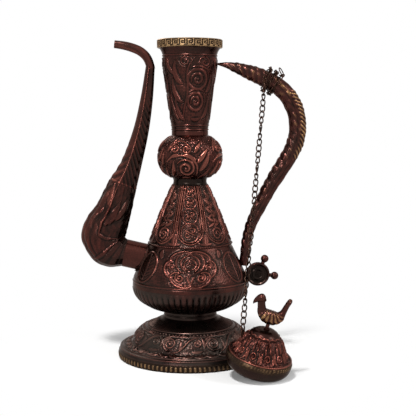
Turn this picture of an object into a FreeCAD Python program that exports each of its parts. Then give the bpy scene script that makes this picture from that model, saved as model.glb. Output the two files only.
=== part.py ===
import FreeCAD, Part
import math
import os
import Sketcher

# A footed ewer of beaten brass sheet, with a loose lid held by a chain.
# Origin on the axis of the vessel at the surface it stands on, +Z up, the spout
# towards -X and the handle towards +X. Lengths in millimetres, angles in degrees.

V = FreeCAD.Vector
UP = V(0, 0, 1)
FRONT = V(0, -1, 0)

doc = FreeCAD.newDocument("Ewer")
sheet = doc.addObject("Spreadsheet::Sheet", "Sizes")

SIZES = [
    # Sheet, solder and cuts
    ("sheet_wall", 1.4), ("solder_gap", 0.1), ("cut_overrun", 20.0),
    # Foot
    ("foot_radius", 76.2), ("foot_height", 42.0), ("foot_band_height", 7.5),
    ("foot_band_width", 5.0), ("foot_band_bulge", 0.8),
    ("stem_radius", 28.0), ("stem_height", 6.5), ("stem_groove", 0.7),
    # Bulb and shoulder
    ("belly_radius", 60.7), ("bowl_height", 27.0), ("belly_height", 44.5),
    ("belt_radius", 43.0), ("belt_height", 2.6), ("belt_rise", 1.2),
    ("relief_rise", 0.7), ("relief_width", 1.8), ("relief_bed", 0.6),
    ("cone_height", 61.5), ("collar_radius", 18.2), ("collar_height", 6.3), ("collar_waist", 0.9),
    ("knop_radius", 33.1), ("knop_height", 44.7),
    # Neck and mouth
    ("neck_foot_radius", 19.0), ("neck_radius", 28.2), ("neck_height", 89.0),
    ("mouth_radius", 33.8), ("mouth_bore_radius", 29.5), ("mouth_band_height", 8.5), ("mouth_edge", 0.7),
    # Spout
    ("spout_reach", 115.0), ("spout_rise", 217.0), ("spout_drop", 11.5), ("stub_radius", 14.5),
    ("stub_length", 17.1), ("stub_lean", 13.0), ("spout_wall", 1.3), ("stub_collar_width", 1.8),
    ("nozzle_radius", 4.7), ("nozzle_tip_radius", 4.1),
    # Handle with its scroll end
    ("handle_reach", 112.0), ("handle_top_drop", 16.0), ("handle_drop", 16.5), ("grip_thickness", 17.8),
    ("scroll_radius", 11.6), ("scroll_thickness", 7.0), ("scroll_reach", 71.4), ("scroll_drop", 34.0),
    ("scroll_dish", 1.6), ("scroll_rim", 1.9), ("knob_radius", 3.8), ("knob_stem_radius", 1.7),
    ("knob_stem_length", 2.6),
    # Chain
    ("link_pitch", 6.0), ("link_width", 6.0), ("link_wire", 1.3), ("link_gap", 0.14), ("wrap_pitch", 6.7),
    ("wrap_slack", 0.25), ("wrap_roll", 155.0),
    ("ring_radius", 4.6), ("ring_wire", 1.1),
    # Lid
    ("lid_reach", 63.6), ("lid_front", 86.9), ("lid_tilt", 16.1), ("lid_lean", -37.1),
    ("lid_radius", 32.5), ("lid_foot_radius", 24.7), ("lid_foot_land", 2.0), ("lid_seat_height", 11.5),
    ("lid_band_height", 5.6), ("lid_lip_radius", 30.9), ("lid_lip_wire", 1.3),
    ("lid_dome_radius", 29.4), ("lid_dome_height", 19.8), ("lid_cap_radius", 14.6), ("lid_cap_height", 6.8),
    ("peg_radius", 1.9), ("peg_length", 9.6), ("peg_shoulder_radius", 3.0), ("peg_shoulder_height", 1.4),
    ("washer_radius", 4.4), ("washer_height", 1.1),
    ("staple_radius", 2.7), ("staple_wire", 1.5), ("staple_leg", 4.6), ("staple_turn", 28.0),
    ("staple_reach", 21.6), ("staple_rise", 1.2),
    # Bird on the lid
    ("bird_length", 32.4), ("bird_height", 33.0), ("bird_lift", 1.6), ("bird_girth", 13.2),
    ("bird_head", 8.2), ("beak_length", 6.6),
]

for row, (alias, number) in enumerate(SIZES, start=1):
    sheet.set(f"A{row}", alias)
    sheet.set(f"B{row}", str(number))
    sheet.setAlias(f"B{row}", alias)
doc.recompute()


def size(alias):
    return float(sheet.get(alias))


def value(expression):
    return float(sheet.evalExpression(expression))


def cell(alias):
    return f"Sizes.{alias}"


def span(low, high, share):
    # The point that lies a share of the way from one expression to another
    return f"({low}) + (({high}) - ({low})) * {share}"


def total(*aliases):
    return " + ".join(cell(alias) for alias in aliases)


# Levels of the seams, from the floor up
foot_top = total("foot_height")
bowl_foot = total("foot_height", "stem_height")
belly_foot = total("foot_height", "stem_height", "bowl_height")
belt_level = total("foot_height", "stem_height", "bowl_height", "belly_height")
cone_top = f"{belt_level} + {cell('cone_height')}"
knop_foot = f"{cone_top} + {cell('collar_height')}"
knop_top = f"{knop_foot} + {cell('knop_height')}"
neck_top = f"{knop_top} + {cell('neck_height')}"
rim_top = f"{neck_top} + {cell('mouth_band_height')}"


def origin_plane(body, role):
    return next(plane for plane in body.Origin.OriginFeatures if plane.Role == role)


def pin_point(sketch, geometry, position, across, along):
    # Hold one sketch point at its two distances from the axis and the base line
    for kind, axis, expression in (("DistanceX", -2, across), ("DistanceY", -1, along)):
        if expression == "0":
            sketch.addConstraint(Sketcher.Constraint("PointOnObject", geometry, position, axis))
            continue
        number = value(expression)
        index = sketch.addConstraint(Sketcher.Constraint(kind, -1, 1, geometry, position, number))
        sketch.setExpression(f"Constraints[{index}]", expression)


def sketch_arc(start, middle, end):
    # An arc through three points, drawn counterclockwise as a sketch needs it
    centre = Part.Circle(start, middle, end).Center
    turns_left = (middle - start).cross(end - middle).z > 0
    first, last = (start, end) if turns_left else (end, start)
    angles = [math.atan2(point.y - centre.y, point.x - centre.x) for point in (first, last)]
    if angles[1] < angles[0]:
        angles[1] += 2 * math.pi
    return Part.ArcOfCircle(Part.Circle(centre, UP, (start - centre).Length), *angles), 1 if turns_left else 2


def draw_outline(sketch, outline):
    # A closed outline of lines, and of arcs where a row is marked as an arc's middle
    points = [V(value(across), value(along), 0) for across, along, kind in outline]
    corners = [k for k, (across, along, kind) in enumerate(outline) if kind == "corner"]
    edges = []
    for n, start in enumerate(corners):
        end = corners[(n + 1) % len(corners)]
        middle = (start + 1) % len(outline)
        if middle == end:
            edge = sketch.addGeometry(Part.LineSegment(points[start], points[end]), False)
            first = 1
        else:
            arc, first = sketch_arc(points[start], points[middle], points[end])
            edge = sketch.addGeometry(arc, False)
            mark = sketch.addGeometry(Part.Point(points[middle]), True)
            pin_point(sketch, mark, 1, *outline[middle][:2])
            sketch.addConstraint(Sketcher.Constraint("PointOnObject", mark, 1, edge))
        pin_point(sketch, edge, first, *outline[start][:2])
        edges.append((edge, first, 3 - first))
    for (edge, first, last), (after, after_first, after_last) in zip(edges, edges[1:] + edges[:1]):
        sketch.addConstraint(Sketcher.Constraint("Coincident", edge, last, after, after_first))


def turned(label, outline):
    # A solid turned about the vertical axis from its half outline
    body = doc.addObject("PartDesign::Body", label)
    body.Label = label
    sketch = body.newObject("Sketcher::SketchObject", label + "_outline")
    sketch.AttachmentSupport = [(origin_plane(body, "XZ_Plane"), "")]
    sketch.MapMode = "FlatFace"
    draw_outline(sketch, outline)
    turn = body.newObject("PartDesign::Revolution", label + "_turn")
    turn.Profile = sketch
    turn.ReferenceAxis = (sketch, ["V_Axis"])
    turn.Angle = 360.0
    body.Tip = turn
    sketch.Visibility = False
    return body


def sheet_rows(low_radius, high_radius, low_level, high_level, rows):
    # Rows of shares: radius, level, wall taken inwards, wall taken upwards, kind of point
    outline = []
    for radius_share, level_share, inward_share, upward_share, kind in rows:
        radius = span(low_radius, high_radius, radius_share)
        level = span(low_level, high_level, level_share)
        outline.append((radius, level, inward_share, upward_share, kind))
    return outline


def sheet_outline(rows, wall="sheet_wall"):
    # The outer line, then the same line moved inside by the wall, back to the start
    outer = [(radius, level, kind) for radius, level, inward, upward, kind in rows]
    inner = []
    for radius, level, inward, upward, kind in reversed(rows):
        inside = f"{radius} - {cell(wall)} * {inward}"
        inner.append((inside, f"{level} + {cell(wall)} * {upward}", kind))
    return outer + inner


def core_outline(rows, level_low, level_high, rise):
    # The room inside an outer line, grown by a named amount, closed on the axis
    outline = [("0", level_low, "corner")]
    outline += [(f"{radius} + {rise}", level, kind) for radius, level, inward, upward, kind in rows]
    return outline + [("0", level_high, "corner")]


pieces = []


def keep(piece, label=None):
    # Note a finished piece, which is written under its label
    if label:
        piece.Label = label
    pieces.append(piece)
    return piece


def shaped(label, shape):
    piece = doc.addObject("Part::Feature", label)
    piece.Label = label
    piece.Shape = shape
    return piece


def cut_from(label, base, tool):
    base.Label = label + "_blank"
    cut = doc.addObject("Part::Cut", label + "_cut")
    cut.Base = base
    cut.Tool = tool
    return keep(cut, label)


# Foot: a domed shell on a beaded band, under a short stem
foot_dome_shares = [
    (0.0, 1.0, 1.0, 0.0, "corner"), (0.21, 0.84, 0.45, -0.9, "middle"), (0.446, 0.69, 0.55, -0.85, "corner"),
    (0.602, 0.496, 0.75, -0.65, "middle"), (0.685, 0.275, 1.0, -0.35, "corner"),
    (0.73, 0.21, 0.75, -0.75, "corner"), (0.89, 0.135, 0.35, -0.95, "corner"),
    (0.955, 0.085, 0.65, -0.75, "middle"), (0.98, 0.0, 1.4, 0.0, "corner"),
]
foot_rows = sheet_rows(cell("stem_radius"), cell("foot_radius"), cell("foot_band_height"), foot_top,
                       foot_dome_shares)
foot_sheet = turned("foot_sheet", sheet_outline(foot_rows))

band_side = f"{cell('foot_radius')} - {cell('foot_band_bulge')}"
band_bore = f"{cell('foot_radius')} - {cell('foot_band_width')}"
keep(turned("foot_band", [
    (band_bore, "0", "corner"), (band_side, "0", "corner"),
    (cell("foot_radius"), f"{cell('foot_band_height')} / 2", "middle"),
    (band_side, cell("foot_band_height"), "corner"), (band_bore, cell("foot_band_height"), "corner"),
]))

stem_bore = f"{cell('stem_radius')} - {cell('sheet_wall')}"
groove_shares = (0.38, 0.5, 0.62)
groove_levels = [span(foot_top, bowl_foot, share) for share in groove_shares]
keep(turned("stem_tube", [
    (stem_bore, foot_top, "corner"), (cell("stem_radius"), foot_top, "corner"),
    (cell("stem_radius"), groove_levels[0], "corner"),
    (f"{cell('stem_radius')} - {cell('stem_groove')}", groove_levels[1], "middle"),
    (cell("stem_radius"), groove_levels[2], "corner"), (cell("stem_radius"), bowl_foot, "corner"),
    (stem_bore, bowl_foot, "corner"),
]))

# Bulb: a closed bowl below, and the belly that draws in to the belt
bowl_shares = [
    (0.0, 0.0, 0.0, 1.0, "corner"), (0.352, 0.126, 0.35, 0.94, "middle"), (0.657, 0.33, 0.6, 0.8, "corner"),
    (0.9, 0.596, 0.85, 0.5, "middle"), (1.0, 1.0, 1.0, 0.0, "corner"),
]
bowl_rows = sheet_rows(cell("stem_radius"), cell("belly_radius"), bowl_foot, belly_foot, bowl_shares)
bowl_line = sheet_outline(bowl_rows)
bowl_floor = [("0", f"{bowl_foot} + {cell('sheet_wall')}", "corner"), ("0", bowl_foot, "corner")]
keep(turned("bowl", bowl_line + bowl_floor))

belt_half = f"{cell('belt_height')} / 2"
belly_shares = [
    (1.0, 0.0, 1.0, 0.0, "corner"), (0.966, 0.138, 0.98, -0.1, "middle"),
    (0.857, 0.276, 0.95, -0.3, "corner"), (0.44, 0.63, 0.92, -0.4, "middle"),
    (0.0, 1.0, 1.0, -0.3, "corner"),
]
belly_top = f"{belt_level} - {belt_half}"
belly_rows = sheet_rows(cell("belt_radius"), cell("belly_radius"), belly_foot, belly_top, belly_shares)
belly_rows.append((cell("belt_radius"), belt_level, 1.0, 0.0, "corner"))
belly_sheet = turned("belly_sheet", sheet_outline(belly_rows))

cone_foot = f"{belt_level} + {belt_half}"
band_inside = f"{cell('belt_radius')} + {cell('solder_gap')}"
band_outside = f"{band_inside} + {cell('belt_rise')}"
keep(turned("belt_band", [
    (band_inside, belly_top, "corner"), (band_outside, belt_level, "middle"),
    (band_inside, cone_foot, "corner"),
]))

# Shoulder cone, collar and knop below the neck
collar_wall_share = 1.15
cone_shares = [
    (1.0, 0.0, 1.0, 0.3, "corner"), (0.53, 0.51, 0.93, -0.36, "middle"),
    (0.0, 1.0, collar_wall_share, 0.0, "corner"),
]
cone_rows = [(cell("belt_radius"), belt_level, 1.0, 0.0, "corner")]
cone_rows += sheet_rows(cell("collar_radius"), cell("belt_radius"), cone_foot, cone_top, cone_shares)
keep(turned("shoulder_cone", sheet_outline(cone_rows)))

collar_waist_share = 0.45
collar_bore = f"{cell('collar_radius')} - {cell('sheet_wall')} * {collar_wall_share}"
collar_waist = f"{cell('collar_radius')} - {cell('collar_waist')}"
keep(turned("neck_collar", [
    (collar_bore, cone_top, "corner"), (cell("collar_radius"), cone_top, "corner"),
    (collar_waist, span(cone_top, knop_foot, collar_waist_share), "middle"),
    (cell("collar_radius"), knop_foot, "corner"), (collar_bore, knop_foot, "corner"),
]))

knop_low_shares = [
    (0.0, 0.0, collar_wall_share, 0.0, "corner"), (0.74, 0.195, 0.8, 0.6, "middle"),
    (1.0, 0.51, 1.0, 0.0, "corner"),
]
knop_high_shares = [(0.8, 0.765, 0.8, -0.6, "middle"), (0.0, 1.0, 1.0, 0.0, "corner")]
knop_rows = sheet_rows(cell("collar_radius"), cell("knop_radius"), knop_foot, knop_top, knop_low_shares)
knop_rows += sheet_rows(cell("neck_foot_radius"), cell("knop_radius"), knop_foot, knop_top, knop_high_shares)
keep(turned("knop", sheet_outline(knop_rows)))

# Neck, flaring to the mouth, under its square-edged band
neck_shares = [
    (0.0, 0.0, 1.0, 0.0, "corner"), (0.0, 0.06, 1.0, 0.0, "corner"), (0.45, 0.43, 0.99, -0.1, "middle"),
    (0.985, 0.797, 0.99, -0.1, "corner"), (1.0, 0.89, 1.0, 0.0, "corner"), (1.1, 0.955, 0.97, 0.2, "middle"),
    (1.38, 1.0, 1.4, 0.0, "corner"),
]
neck_rows = sheet_rows(cell("neck_foot_radius"), cell("neck_radius"), knop_top, neck_top, neck_shares)
keep(turned("neck", sheet_outline(neck_rows)))

edge = cell("mouth_edge")
rim_radius = f"{cell('mouth_radius')} - {edge}"
keep(turned("mouth_band", [
    (cell("mouth_bore_radius"), neck_top, "corner"),
    (rim_radius, neck_top, "corner"), (cell("mouth_radius"), f"{neck_top} + {edge}", "corner"),
    (cell("mouth_radius"), f"{rim_top} - {edge}", "corner"), (rim_radius, rim_top, "corner"),
    (f"{cell('mouth_bore_radius')} + {edge}", rim_top, "corner"),
    (cell("mouth_bore_radius"), f"{rim_top} - {edge}", "corner"),
]))

# The filled bulb, which trims what is soldered to its outside
bulb_core = turned("bulb_core", core_outline(belly_rows, belly_foot, belt_level, cell("solder_gap")))
collar_rise = cell("stub_collar_width")
collar_core = turned("collar_core", core_outline(belly_rows, belly_foot, belt_level, collar_rise))
doc.recompute()


# Cast relief: bands raised on a wall, each the rim of a lobed or round shape that is run through the wall
lobe_share = 0.075


def raised_shell(label, rows, level_low, level_high):
    # The room from inside a wall to the height of its relief
    crest = turned(label + "_crest", core_outline(rows, level_low, level_high, cell("relief_rise")))
    bed = turned(label + "_bed", core_outline(rows, level_low, level_high, f"(0 - {cell('relief_bed')})"))
    doc.recompute()
    return crest.Shape.cut(bed.Shape)


def lobed_face(half_width, half_height, lobes):
    # A face that looks to the front, round or with an arc for each lobe
    if not lobes:
        axes = sorted([V(half_width, 0, 0), V(0, 0, half_height)], key=lambda axis: -axis.Length)
        round_edge = Part.Circle(V(), FRONT, half_width)
        if half_width != half_height:
            round_edge = Part.Ellipse(*axes, V())
        return Part.Face(Part.Wire(round_edge.toShape()))

    def edge_point(turn):
        swell = 1 + lobe_share * math.cos(lobes * turn)
        return V(half_width * math.cos(turn), 0, half_height * math.sin(turn)) * swell

    step = 2 * math.pi / lobes
    peaks = [step * k for k in range(lobes)]
    arcs = [Part.Arc(edge_point(peak - step / 2), edge_point(peak), edge_point(peak + step / 2)).toShape()
            for peak in peaks]
    return Part.Face(Part.Wire(arcs))


def raised_band(place, half_width, half_height, lobes, length):
    width = size("relief_width")
    rim = lobed_face(half_width, half_height, lobes)
    band = rim.cut(lobed_face(half_width - width, half_height - width, lobes)).extrude(FRONT * length)
    band.translate(place)
    return band


def turned_copies(shape, turns):
    copies = []
    for turn in turns:
        copies.append(shape.copy())
        copies[-1].rotate(V(), UP, turn)
    return copies


def with_relief(label, base, relief):
    raised = doc.addObject("Part::MultiFuse", label + "_raised")
    raised.Shapes = [base, shaped(label + "_relief", relief)]
    return raised


# Belly: a medallion with a lotus and scrolls to the front and the back, an oval on each quarter; rows hold
# place across, level, half width and half height as shares of the belly's radius and height, and lobes
medallion_shares = [
    (0.0, 0.451, 0.404, 0.449, 6), (0.0, 0.602, 0.173, 0.191, 0),
    (0.181, 0.243, 0.089, 0.121, 0), (-0.181, 0.243, 0.089, 0.121, 0),
    (0.297, 0.521, 0.063, 0.085, 0), (-0.297, 0.521, 0.063, 0.085, 0),
]
oval_shares = [(0.0, 0.428, 0.239, 0.393, 0)]
belly_motifs = [(medallion_shares, (0.0, 180.0)), (oval_shares, (57.0, 123.0, -57.0, -123.0))]


def belly_relief():
    shell = raised_shell("belly", belly_rows, belly_foot, belt_level)
    radius = size("belly_radius")
    bands = []
    for table, turns in belly_motifs:
        for across, level, half_width, half_height, lobes in table:
            place = V(radius * across, 0, value(span(belly_foot, belly_top, level)))
            half = (radius * half_width, size("belly_height") * half_height)
            band = raised_band(place, *half, lobes, 2 * radius).common(shell)
            bands += turned_copies(band, turns)
    return Part.makeCompound(bands)


belly = with_relief("belly", belly_sheet, belly_relief())

# Foot: rosettes and smaller scrolls in turn round the steep wall; rows hold the turn from the front, the
# place along the wall and the radius as a share of the wall's length
foot_repeat_count = 8
foot_motifs = [(-21.5, 0.5, 0.45), (7.0, 0.45, 0.27)]


def foot_relief():
    shell = raised_shell("foot", foot_rows, foot_top, cell("foot_band_height"))
    high, low = [V(0, -value(foot_rows[k][0]), value(foot_rows[k][1])) for k in (2, 4)]
    wall = low - high
    out = wall.cross(V(1, 0, 0))
    bands = []
    for turn, along_share, radius_share in foot_motifs:
        radius = wall.Length * radius_share
        band = raised_band(FRONT * -wall.Length, radius, radius, 0, 2 * wall.Length)
        stand = FreeCAD.Placement(high + wall * along_share, FreeCAD.Rotation(FRONT, out))
        band.Placement = stand.multiply(band.Placement)
        turns = [turn + 360 / foot_repeat_count * k for k in range(foot_repeat_count)]
        bands += turned_copies(band.common(shell), turns)
    return Part.makeCompound(bands)


keep(with_relief("foot_dome", foot_sheet, foot_relief()), "foot_dome")


def section_frame(inner, outer):
    # Centre, half width and in-plane direction of a section given by its two edges
    across = outer - inner
    half = across.Length / 2
    across.normalize()
    return (inner + outer) * 0.5, half, across


def facet_wire(centre, across, half_width, half_depth):
    # An eight-sided section with a ridge to the front and one to the back
    facet_shares = [(1.0, 0.0), (0.74, 0.6), (0.25, 1.0), (-0.68, 0.66),
                    (-1.0, 0.0), (-0.68, -0.66), (0.25, -1.0), (0.74, -0.6)]
    corners = [centre + across * (half_width * a) + FRONT * (half_depth * b) for a, b in facet_shares]
    return Part.makePolygon(corners + corners[:1])


def round_wire(centre, across, half_width, half_depth):
    # An oval section made of four arcs
    arcs = []
    step = math.pi / 4
    ring = []
    for k in range(8):
        aside = across * (half_width * math.cos(k * step))
        ring.append(centre + aside + FRONT * (half_depth * math.sin(k * step)))
    for k in range(0, 8, 2):
        arcs.append(Part.Arc(ring[k], ring[k + 1], ring[(k + 2) % 8]).toShape())
    return Part.Wire(arcs)


# Spout: edges of its sections as shares of its reach beyond the stub and of its rise, depth as a share
# of width
boot_shares = [
    ((0.0, 0.067), (0.132, -0.063), 1.0), ((0.032, 0.073), (0.416, -0.068), 0.86),
    ((0.046, 0.076), (0.697, -0.042), 0.77), ((0.048, 0.081), (0.915, 0.024), 0.74),
    ((0.039, 0.088), (0.991, 0.098), 0.7), ((0.002, 0.118), (0.866, 0.176), 0.71),
    ((-0.042, 0.161), (0.672, 0.236), 0.77), ((-0.182, 0.307), (0.374, 0.361), 0.87),
]
tube_shares = [
    ((-0.182, 0.307), (0.374, 0.361), 0.87), ((-0.3, 0.423), (0.118, 0.454), 0.91),
    ((-0.453, 0.586), (-0.129, 0.602), 0.94), ((-0.543, 0.742), (-0.286, 0.752), 0.96),
    ((-0.587, 0.898), (-0.395, 0.896), 0.98),
]
nozzle_shares = [
    (-0.491, 0.897), (-0.448, 0.926), (-0.376, 0.95), (-0.254, 0.971), (-0.085, 0.986), (0.079, 0.995),
    (0.245, 1.0),
]
spout_level = value(belt_level) - size("spout_drop")


def bulb_reach(level):
    # How far out the bulb's wall stands at a level
    ray = Part.makeLine(V(0, 0, level), V(-size("spout_reach"), 0, level))
    return -ray.common(bulb_core.Shape).BoundBox.XMin


stub_end = bulb_reach(spout_level) + size("stub_length")


def spout_point(shares):
    reach = size("spout_reach") - stub_end
    return V(-stub_end - reach * shares[0], 0, spout_level + size("spout_rise") * shares[1])


section_steps = 3


def eased(table):
    # The table's sections with more between them, on a smooth curve through them all
    rows = [(*inner, *outer, depth_share) for inner, outer, depth_share in table]
    rows = [rows[0]] + rows + [rows[-1]]
    between = []
    for before, start, end, after in zip(rows, rows[1:], rows[2:], rows[3:]):
        for k in range(section_steps):
            t = k / section_steps
            weights = (t * (2 - t) * t - t, t * t * (3 * t - 5) + 2,
                       t * (1 + t * (4 - 3 * t)), t * t * (t - 1))
            columns = zip(before, start, end, after)
            between.append([sum(w * c for w, c in zip(weights, column)) / 2 for column in columns])
    between.append(rows[-1])
    return [(row[0:2], row[2:4], row[4]) for row in between]


def faceted_tube(table, thickness):
    # A ruled faceted skin through the sections, with its bore taken out
    outside = []
    inside = []
    for inner, outer, depth_share in eased(table):
        centre, half, across = section_frame(spout_point(inner), spout_point(outer))
        outside.append(facet_wire(centre, across, half, half * depth_share))
        inside.append(facet_wire(centre, across, half - thickness, half * depth_share - thickness))
    return Part.makeLoft(outside, True, True).cut(Part.makeLoft(inside, True, True))


keep(shaped("spout_boot", faceted_tube(boot_shares, size("spout_wall"))))
keep(shaped("spout_tube", faceted_tube(tube_shares, size("spout_wall"))))

nozzle_points = [spout_point(shares) for shares in nozzle_shares]


def bent_tube(points, root_across, radius_start, radius_end):
    # A round tapering tube, its root square with the end that it is soldered to
    wires = []
    last = len(points) - 1
    for k, point in enumerate(points):
        along = points[min(k + 1, last)] - points[max(k - 1, 0)]
        across = along.cross(FRONT) if k else root_across * -1
        across.normalize()
        radius = radius_start + (radius_end - radius_start) * k / last
        wires.append(round_wire(point, across, radius, radius))
    return Part.makeLoft(wires, True, False)


def nozzle_shape():
    wall = size("spout_wall")
    root_across = section_frame(*[spout_point(shares) for shares in tube_shares[-1][:2]])[2]
    radii = (size("nozzle_radius"), size("nozzle_tip_radius"))
    outside = bent_tube(nozzle_points, root_across, *radii)
    bore = bent_tube(nozzle_points, root_across, *[radius - wall for radius in radii])
    return outside.cut(bore)


keep(shaped("spout_nozzle", nozzle_shape()))

# Stub: a round tube from the belly out to the boot, its root trimmed to the bulb
stub_mouth = section_frame(*[spout_point(shares) for shares in boot_shares[0][:2]])[0]
stub_axis = V(math.cos(math.radians(size("stub_lean"))), 0, -math.sin(math.radians(size("stub_lean"))))


def stub_rod(radius, start=0.0):
    # A rod on the stub's axis, from near its mouth to inside the bulb
    return Part.makeCylinder(radius, size("spout_reach"), stub_mouth + stub_axis * start, stub_axis)


def stub_shape():
    half_bulb = Part.makeBox(size("spout_reach"), 2 * size("spout_reach"), 2 * size("spout_rise"),
                             V(0, -size("spout_reach"), 0))
    tube = stub_rod(size("stub_radius")).cut(stub_rod(size("stub_radius") - size("spout_wall")))
    return tube.cut(bulb_core.Shape).cut(half_bulb)


def outer_solid(shape):
    # The largest of the solids that a trim leaves
    return max(shape.Solids, key=lambda solid: solid.Volume)


keep(shaped("spout_stub", outer_solid(stub_shape())))


def stub_collar_shape():
    outer_radius = size("stub_radius") + size("stub_collar_width")
    ring = stub_rod(outer_radius).cut(stub_rod(size("stub_radius") + size("solder_gap")))
    belt_room = Part.makeCylinder(size("spout_reach"), size("belt_height"),
                                  V(0, 0, value(belly_top) - size("solder_gap")))
    lip = ring.common(collar_core.Shape).cut(bulb_core.Shape).cut(belt_room)
    return min(lip.Solids, key=lambda solid: solid.CenterOfMass.x)


keep(shaped("spout_collar", stub_collar_shape()))


def spout_hole_shape():
    reach = size("spout_reach")
    spout_side = Part.makeBox(reach, 2 * reach, value(rim_top), V(-reach, -reach, 0))
    return stub_rod(size("stub_radius") - size("spout_wall"), -size("cut_overrun")).common(spout_side)


cut_from("belly", belly, shaped("spout_hole", spout_hole_shape()))

# Handle: a thick bent bar, pointed at the neck and slim where it meets the belly
handle_shares = [
    (0.0, 1.0, 0.1), (0.13, 0.993, 0.37), (0.28, 0.975, 0.66), (0.455, 0.949, 0.88), (0.58, 0.927, 0.95),
    (0.715, 0.898, 0.97), (0.828, 0.86, 0.98), (0.915, 0.812, 1.0), (0.98, 0.748, 1.0), (1.0, 0.676, 0.99),
    (0.977, 0.605, 0.97), (0.898, 0.53, 0.95), (0.793, 0.46, 0.93), (0.67, 0.377, 0.85), (0.566, 0.294, 0.77),
    (0.467, 0.211, 0.66), (0.392, 0.127, 0.57), (0.356, 0.042, 0.53), (0.335, -0.04, 0.53),
]
handle_depth_share = 0.88
handle_level = value(belt_level) - size("handle_drop")
handle_rise = value(neck_top) - size("handle_top_drop") - handle_level
handle_root = size("neck_radius") + size("solder_gap")


def handle_point(shares):
    reach = size("handle_reach") - handle_root
    return V(handle_root + reach * shares[0], 0, handle_level + handle_rise * shares[1])


handle_points = [handle_point(shares) for shares in handle_shares]


def handle_shape():
    wires = []
    last = len(handle_points) - 1
    for k, (point, shares) in enumerate(zip(handle_points, handle_shares)):
        along = handle_points[min(k + 1, last)] - handle_points[max(k - 1, 0)]
        across = along.cross(FRONT)
        across.normalize()
        half = size("grip_thickness") * shares[2] / 2
        wires.append(round_wire(point, across, half, half * handle_depth_share))
    return Part.makeLoft(wires, True, False)


keep(shaped("handle", outer_solid(handle_shape().cut(bulb_core.Shape))))

# Scroll end of the handle: a dished disc that faces front, with two ball knobs on its rim
scroll_half = f"{cell('scroll_thickness')} / 2"
dish_floor = f"{scroll_half} - {cell('scroll_dish')}"
rim_inside = f"{cell('scroll_radius')} - {cell('scroll_rim')}"
scroll_edge = f"{cell('scroll_radius')} - {cell('scroll_rim')} / 3"
scroll = turned("scroll_end", [
    ("0", f"-({dish_floor})", "corner"), (rim_inside, f"-({dish_floor})", "corner"),
    (rim_inside, f"-({scroll_half})", "corner"),
    (scroll_edge, f"-({scroll_half})", "corner"),
    (cell("scroll_radius"), "0", "middle"),
    (scroll_edge, scroll_half, "corner"),
    (rim_inside, scroll_half, "corner"), (rim_inside, dish_floor, "corner"), ("0", dish_floor, "corner"),
])
scroll_centre = V(size("scroll_reach"), 0, value(belt_level) - size("scroll_drop"))
scroll.Placement = FreeCAD.Placement(scroll_centre, FreeCAD.Rotation(V(1, 0, 0), 90))
cut_from("scroll_end", scroll, bulb_core)


def knob_shape(angle):
    # A ball on a short stem, set on the scroll's rim
    out = V(math.cos(math.radians(angle)), 0, math.sin(math.radians(angle)))
    root = scroll_centre + out * (size("scroll_radius") + size("solder_gap"))
    stem_length = size("knob_stem_length") + size("knob_radius")
    stem = Part.makeCylinder(size("knob_stem_radius"), stem_length, root, out)
    ball = Part.makeSphere(size("knob_radius"), root + out * stem_length)
    return stem.fuse(ball).Solids[0]


knob_angles = (66.0, -6.0)
keep(shaped("scroll_knobs", Part.makeCompound([knob_shape(angle) for angle in knob_angles])))

# Lid, drawn on its own axis and then laid tilted on the floor beside the foot
lid_band_foot = total("lid_seat_height")
lid_band_top = total("lid_seat_height", "lid_band_height")
lid_dome_top = f"{lid_band_top} + {cell('lid_dome_height')}"
lid_top = f"{lid_dome_top} + {cell('lid_cap_height')}"
lid_wall = cell("sheet_wall")
lid_land = f"{cell('lid_foot_radius')} - {cell('lid_foot_land')}"


def lid_placement():
    # Tilted towards its lean, with the low edge of its foot on the floor
    tilt = math.radians(size("lid_tilt"))
    lean = math.radians(size("lid_lean"))
    turn = FreeCAD.Rotation(V(-math.sin(lean), math.cos(lean), 0), size("lid_tilt"))
    lift = size("lid_foot_radius") * math.sin(tilt)
    return FreeCAD.Placement(V(size("lid_reach"), -size("lid_front"), lift), turn)


lid_place = lid_placement()


def lid_piece(piece):
    piece.Placement = lid_place
    return keep(piece)


seat_land_share = 0.8
seat_shares = [
    (0.0, 0.0, 0.6, seat_land_share, "corner"), (0.7, 0.37, 0.8, 0.6, "middle"),
    (1.0, 1.0, 1.0, 0.0, "corner"),
]
seat_rows = sheet_rows(cell("lid_foot_radius"), cell("lid_radius"), "0", lid_band_foot, seat_shares)
seat_line = sheet_outline(seat_rows)
seat_line[0] = (cell("lid_foot_radius"), "0", "corner")
seat_foot = [(lid_land, f"{lid_wall} * {seat_land_share}", "corner"), (lid_land, "0", "corner")]
lid_piece(turned("lid_seat", seat_line + seat_foot))

band_shares = [
    (1.0, 0.0, 1.0, 0.0, "corner"), (0.85, 0.6, 1.0, 0.0, "middle"), (0.0, 1.0, 1.2, 0.0, "corner"),
]
lid_lip_edge = cell("lid_lip_radius")
lid_band_rows = sheet_rows(lid_lip_edge, cell("lid_radius"), lid_band_foot, lid_band_top, band_shares)
lid_piece(turned("lid_band", sheet_outline(lid_band_rows)))

lip_level = f"{lid_band_top} + {cell('lid_lip_wire')}"
lip_inside = cell("lid_dome_radius")
lip_half = f"{cell('lid_lip_wire')} / 2"
lid_piece(turned("lid_lip", [
    (lip_inside, lid_band_top, "corner"), (lid_lip_edge, lid_band_top, "corner"),
    (f"{lid_lip_edge} + {lip_half}", f"{lid_band_top} + {lip_half}", "middle"),
    (lid_lip_edge, lip_level, "corner"), (lip_inside, lip_level, "corner"),
]))

dome_shares = [
    (1.0, 0.0, 1.0, 0.0, "corner"), (0.76, 0.57, 0.8, -0.6, "middle"), (0.0, 1.0, 1.5, 0.0, "corner"),
]
dome_edge = f"{cell('lid_dome_radius')} - {cell('solder_gap')}"
dome_rows = sheet_rows(cell("lid_cap_radius"), dome_edge, lid_band_top, lid_dome_top, dome_shares)
lid_dome = turned("lid_dome", sheet_outline(dome_rows))

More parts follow.
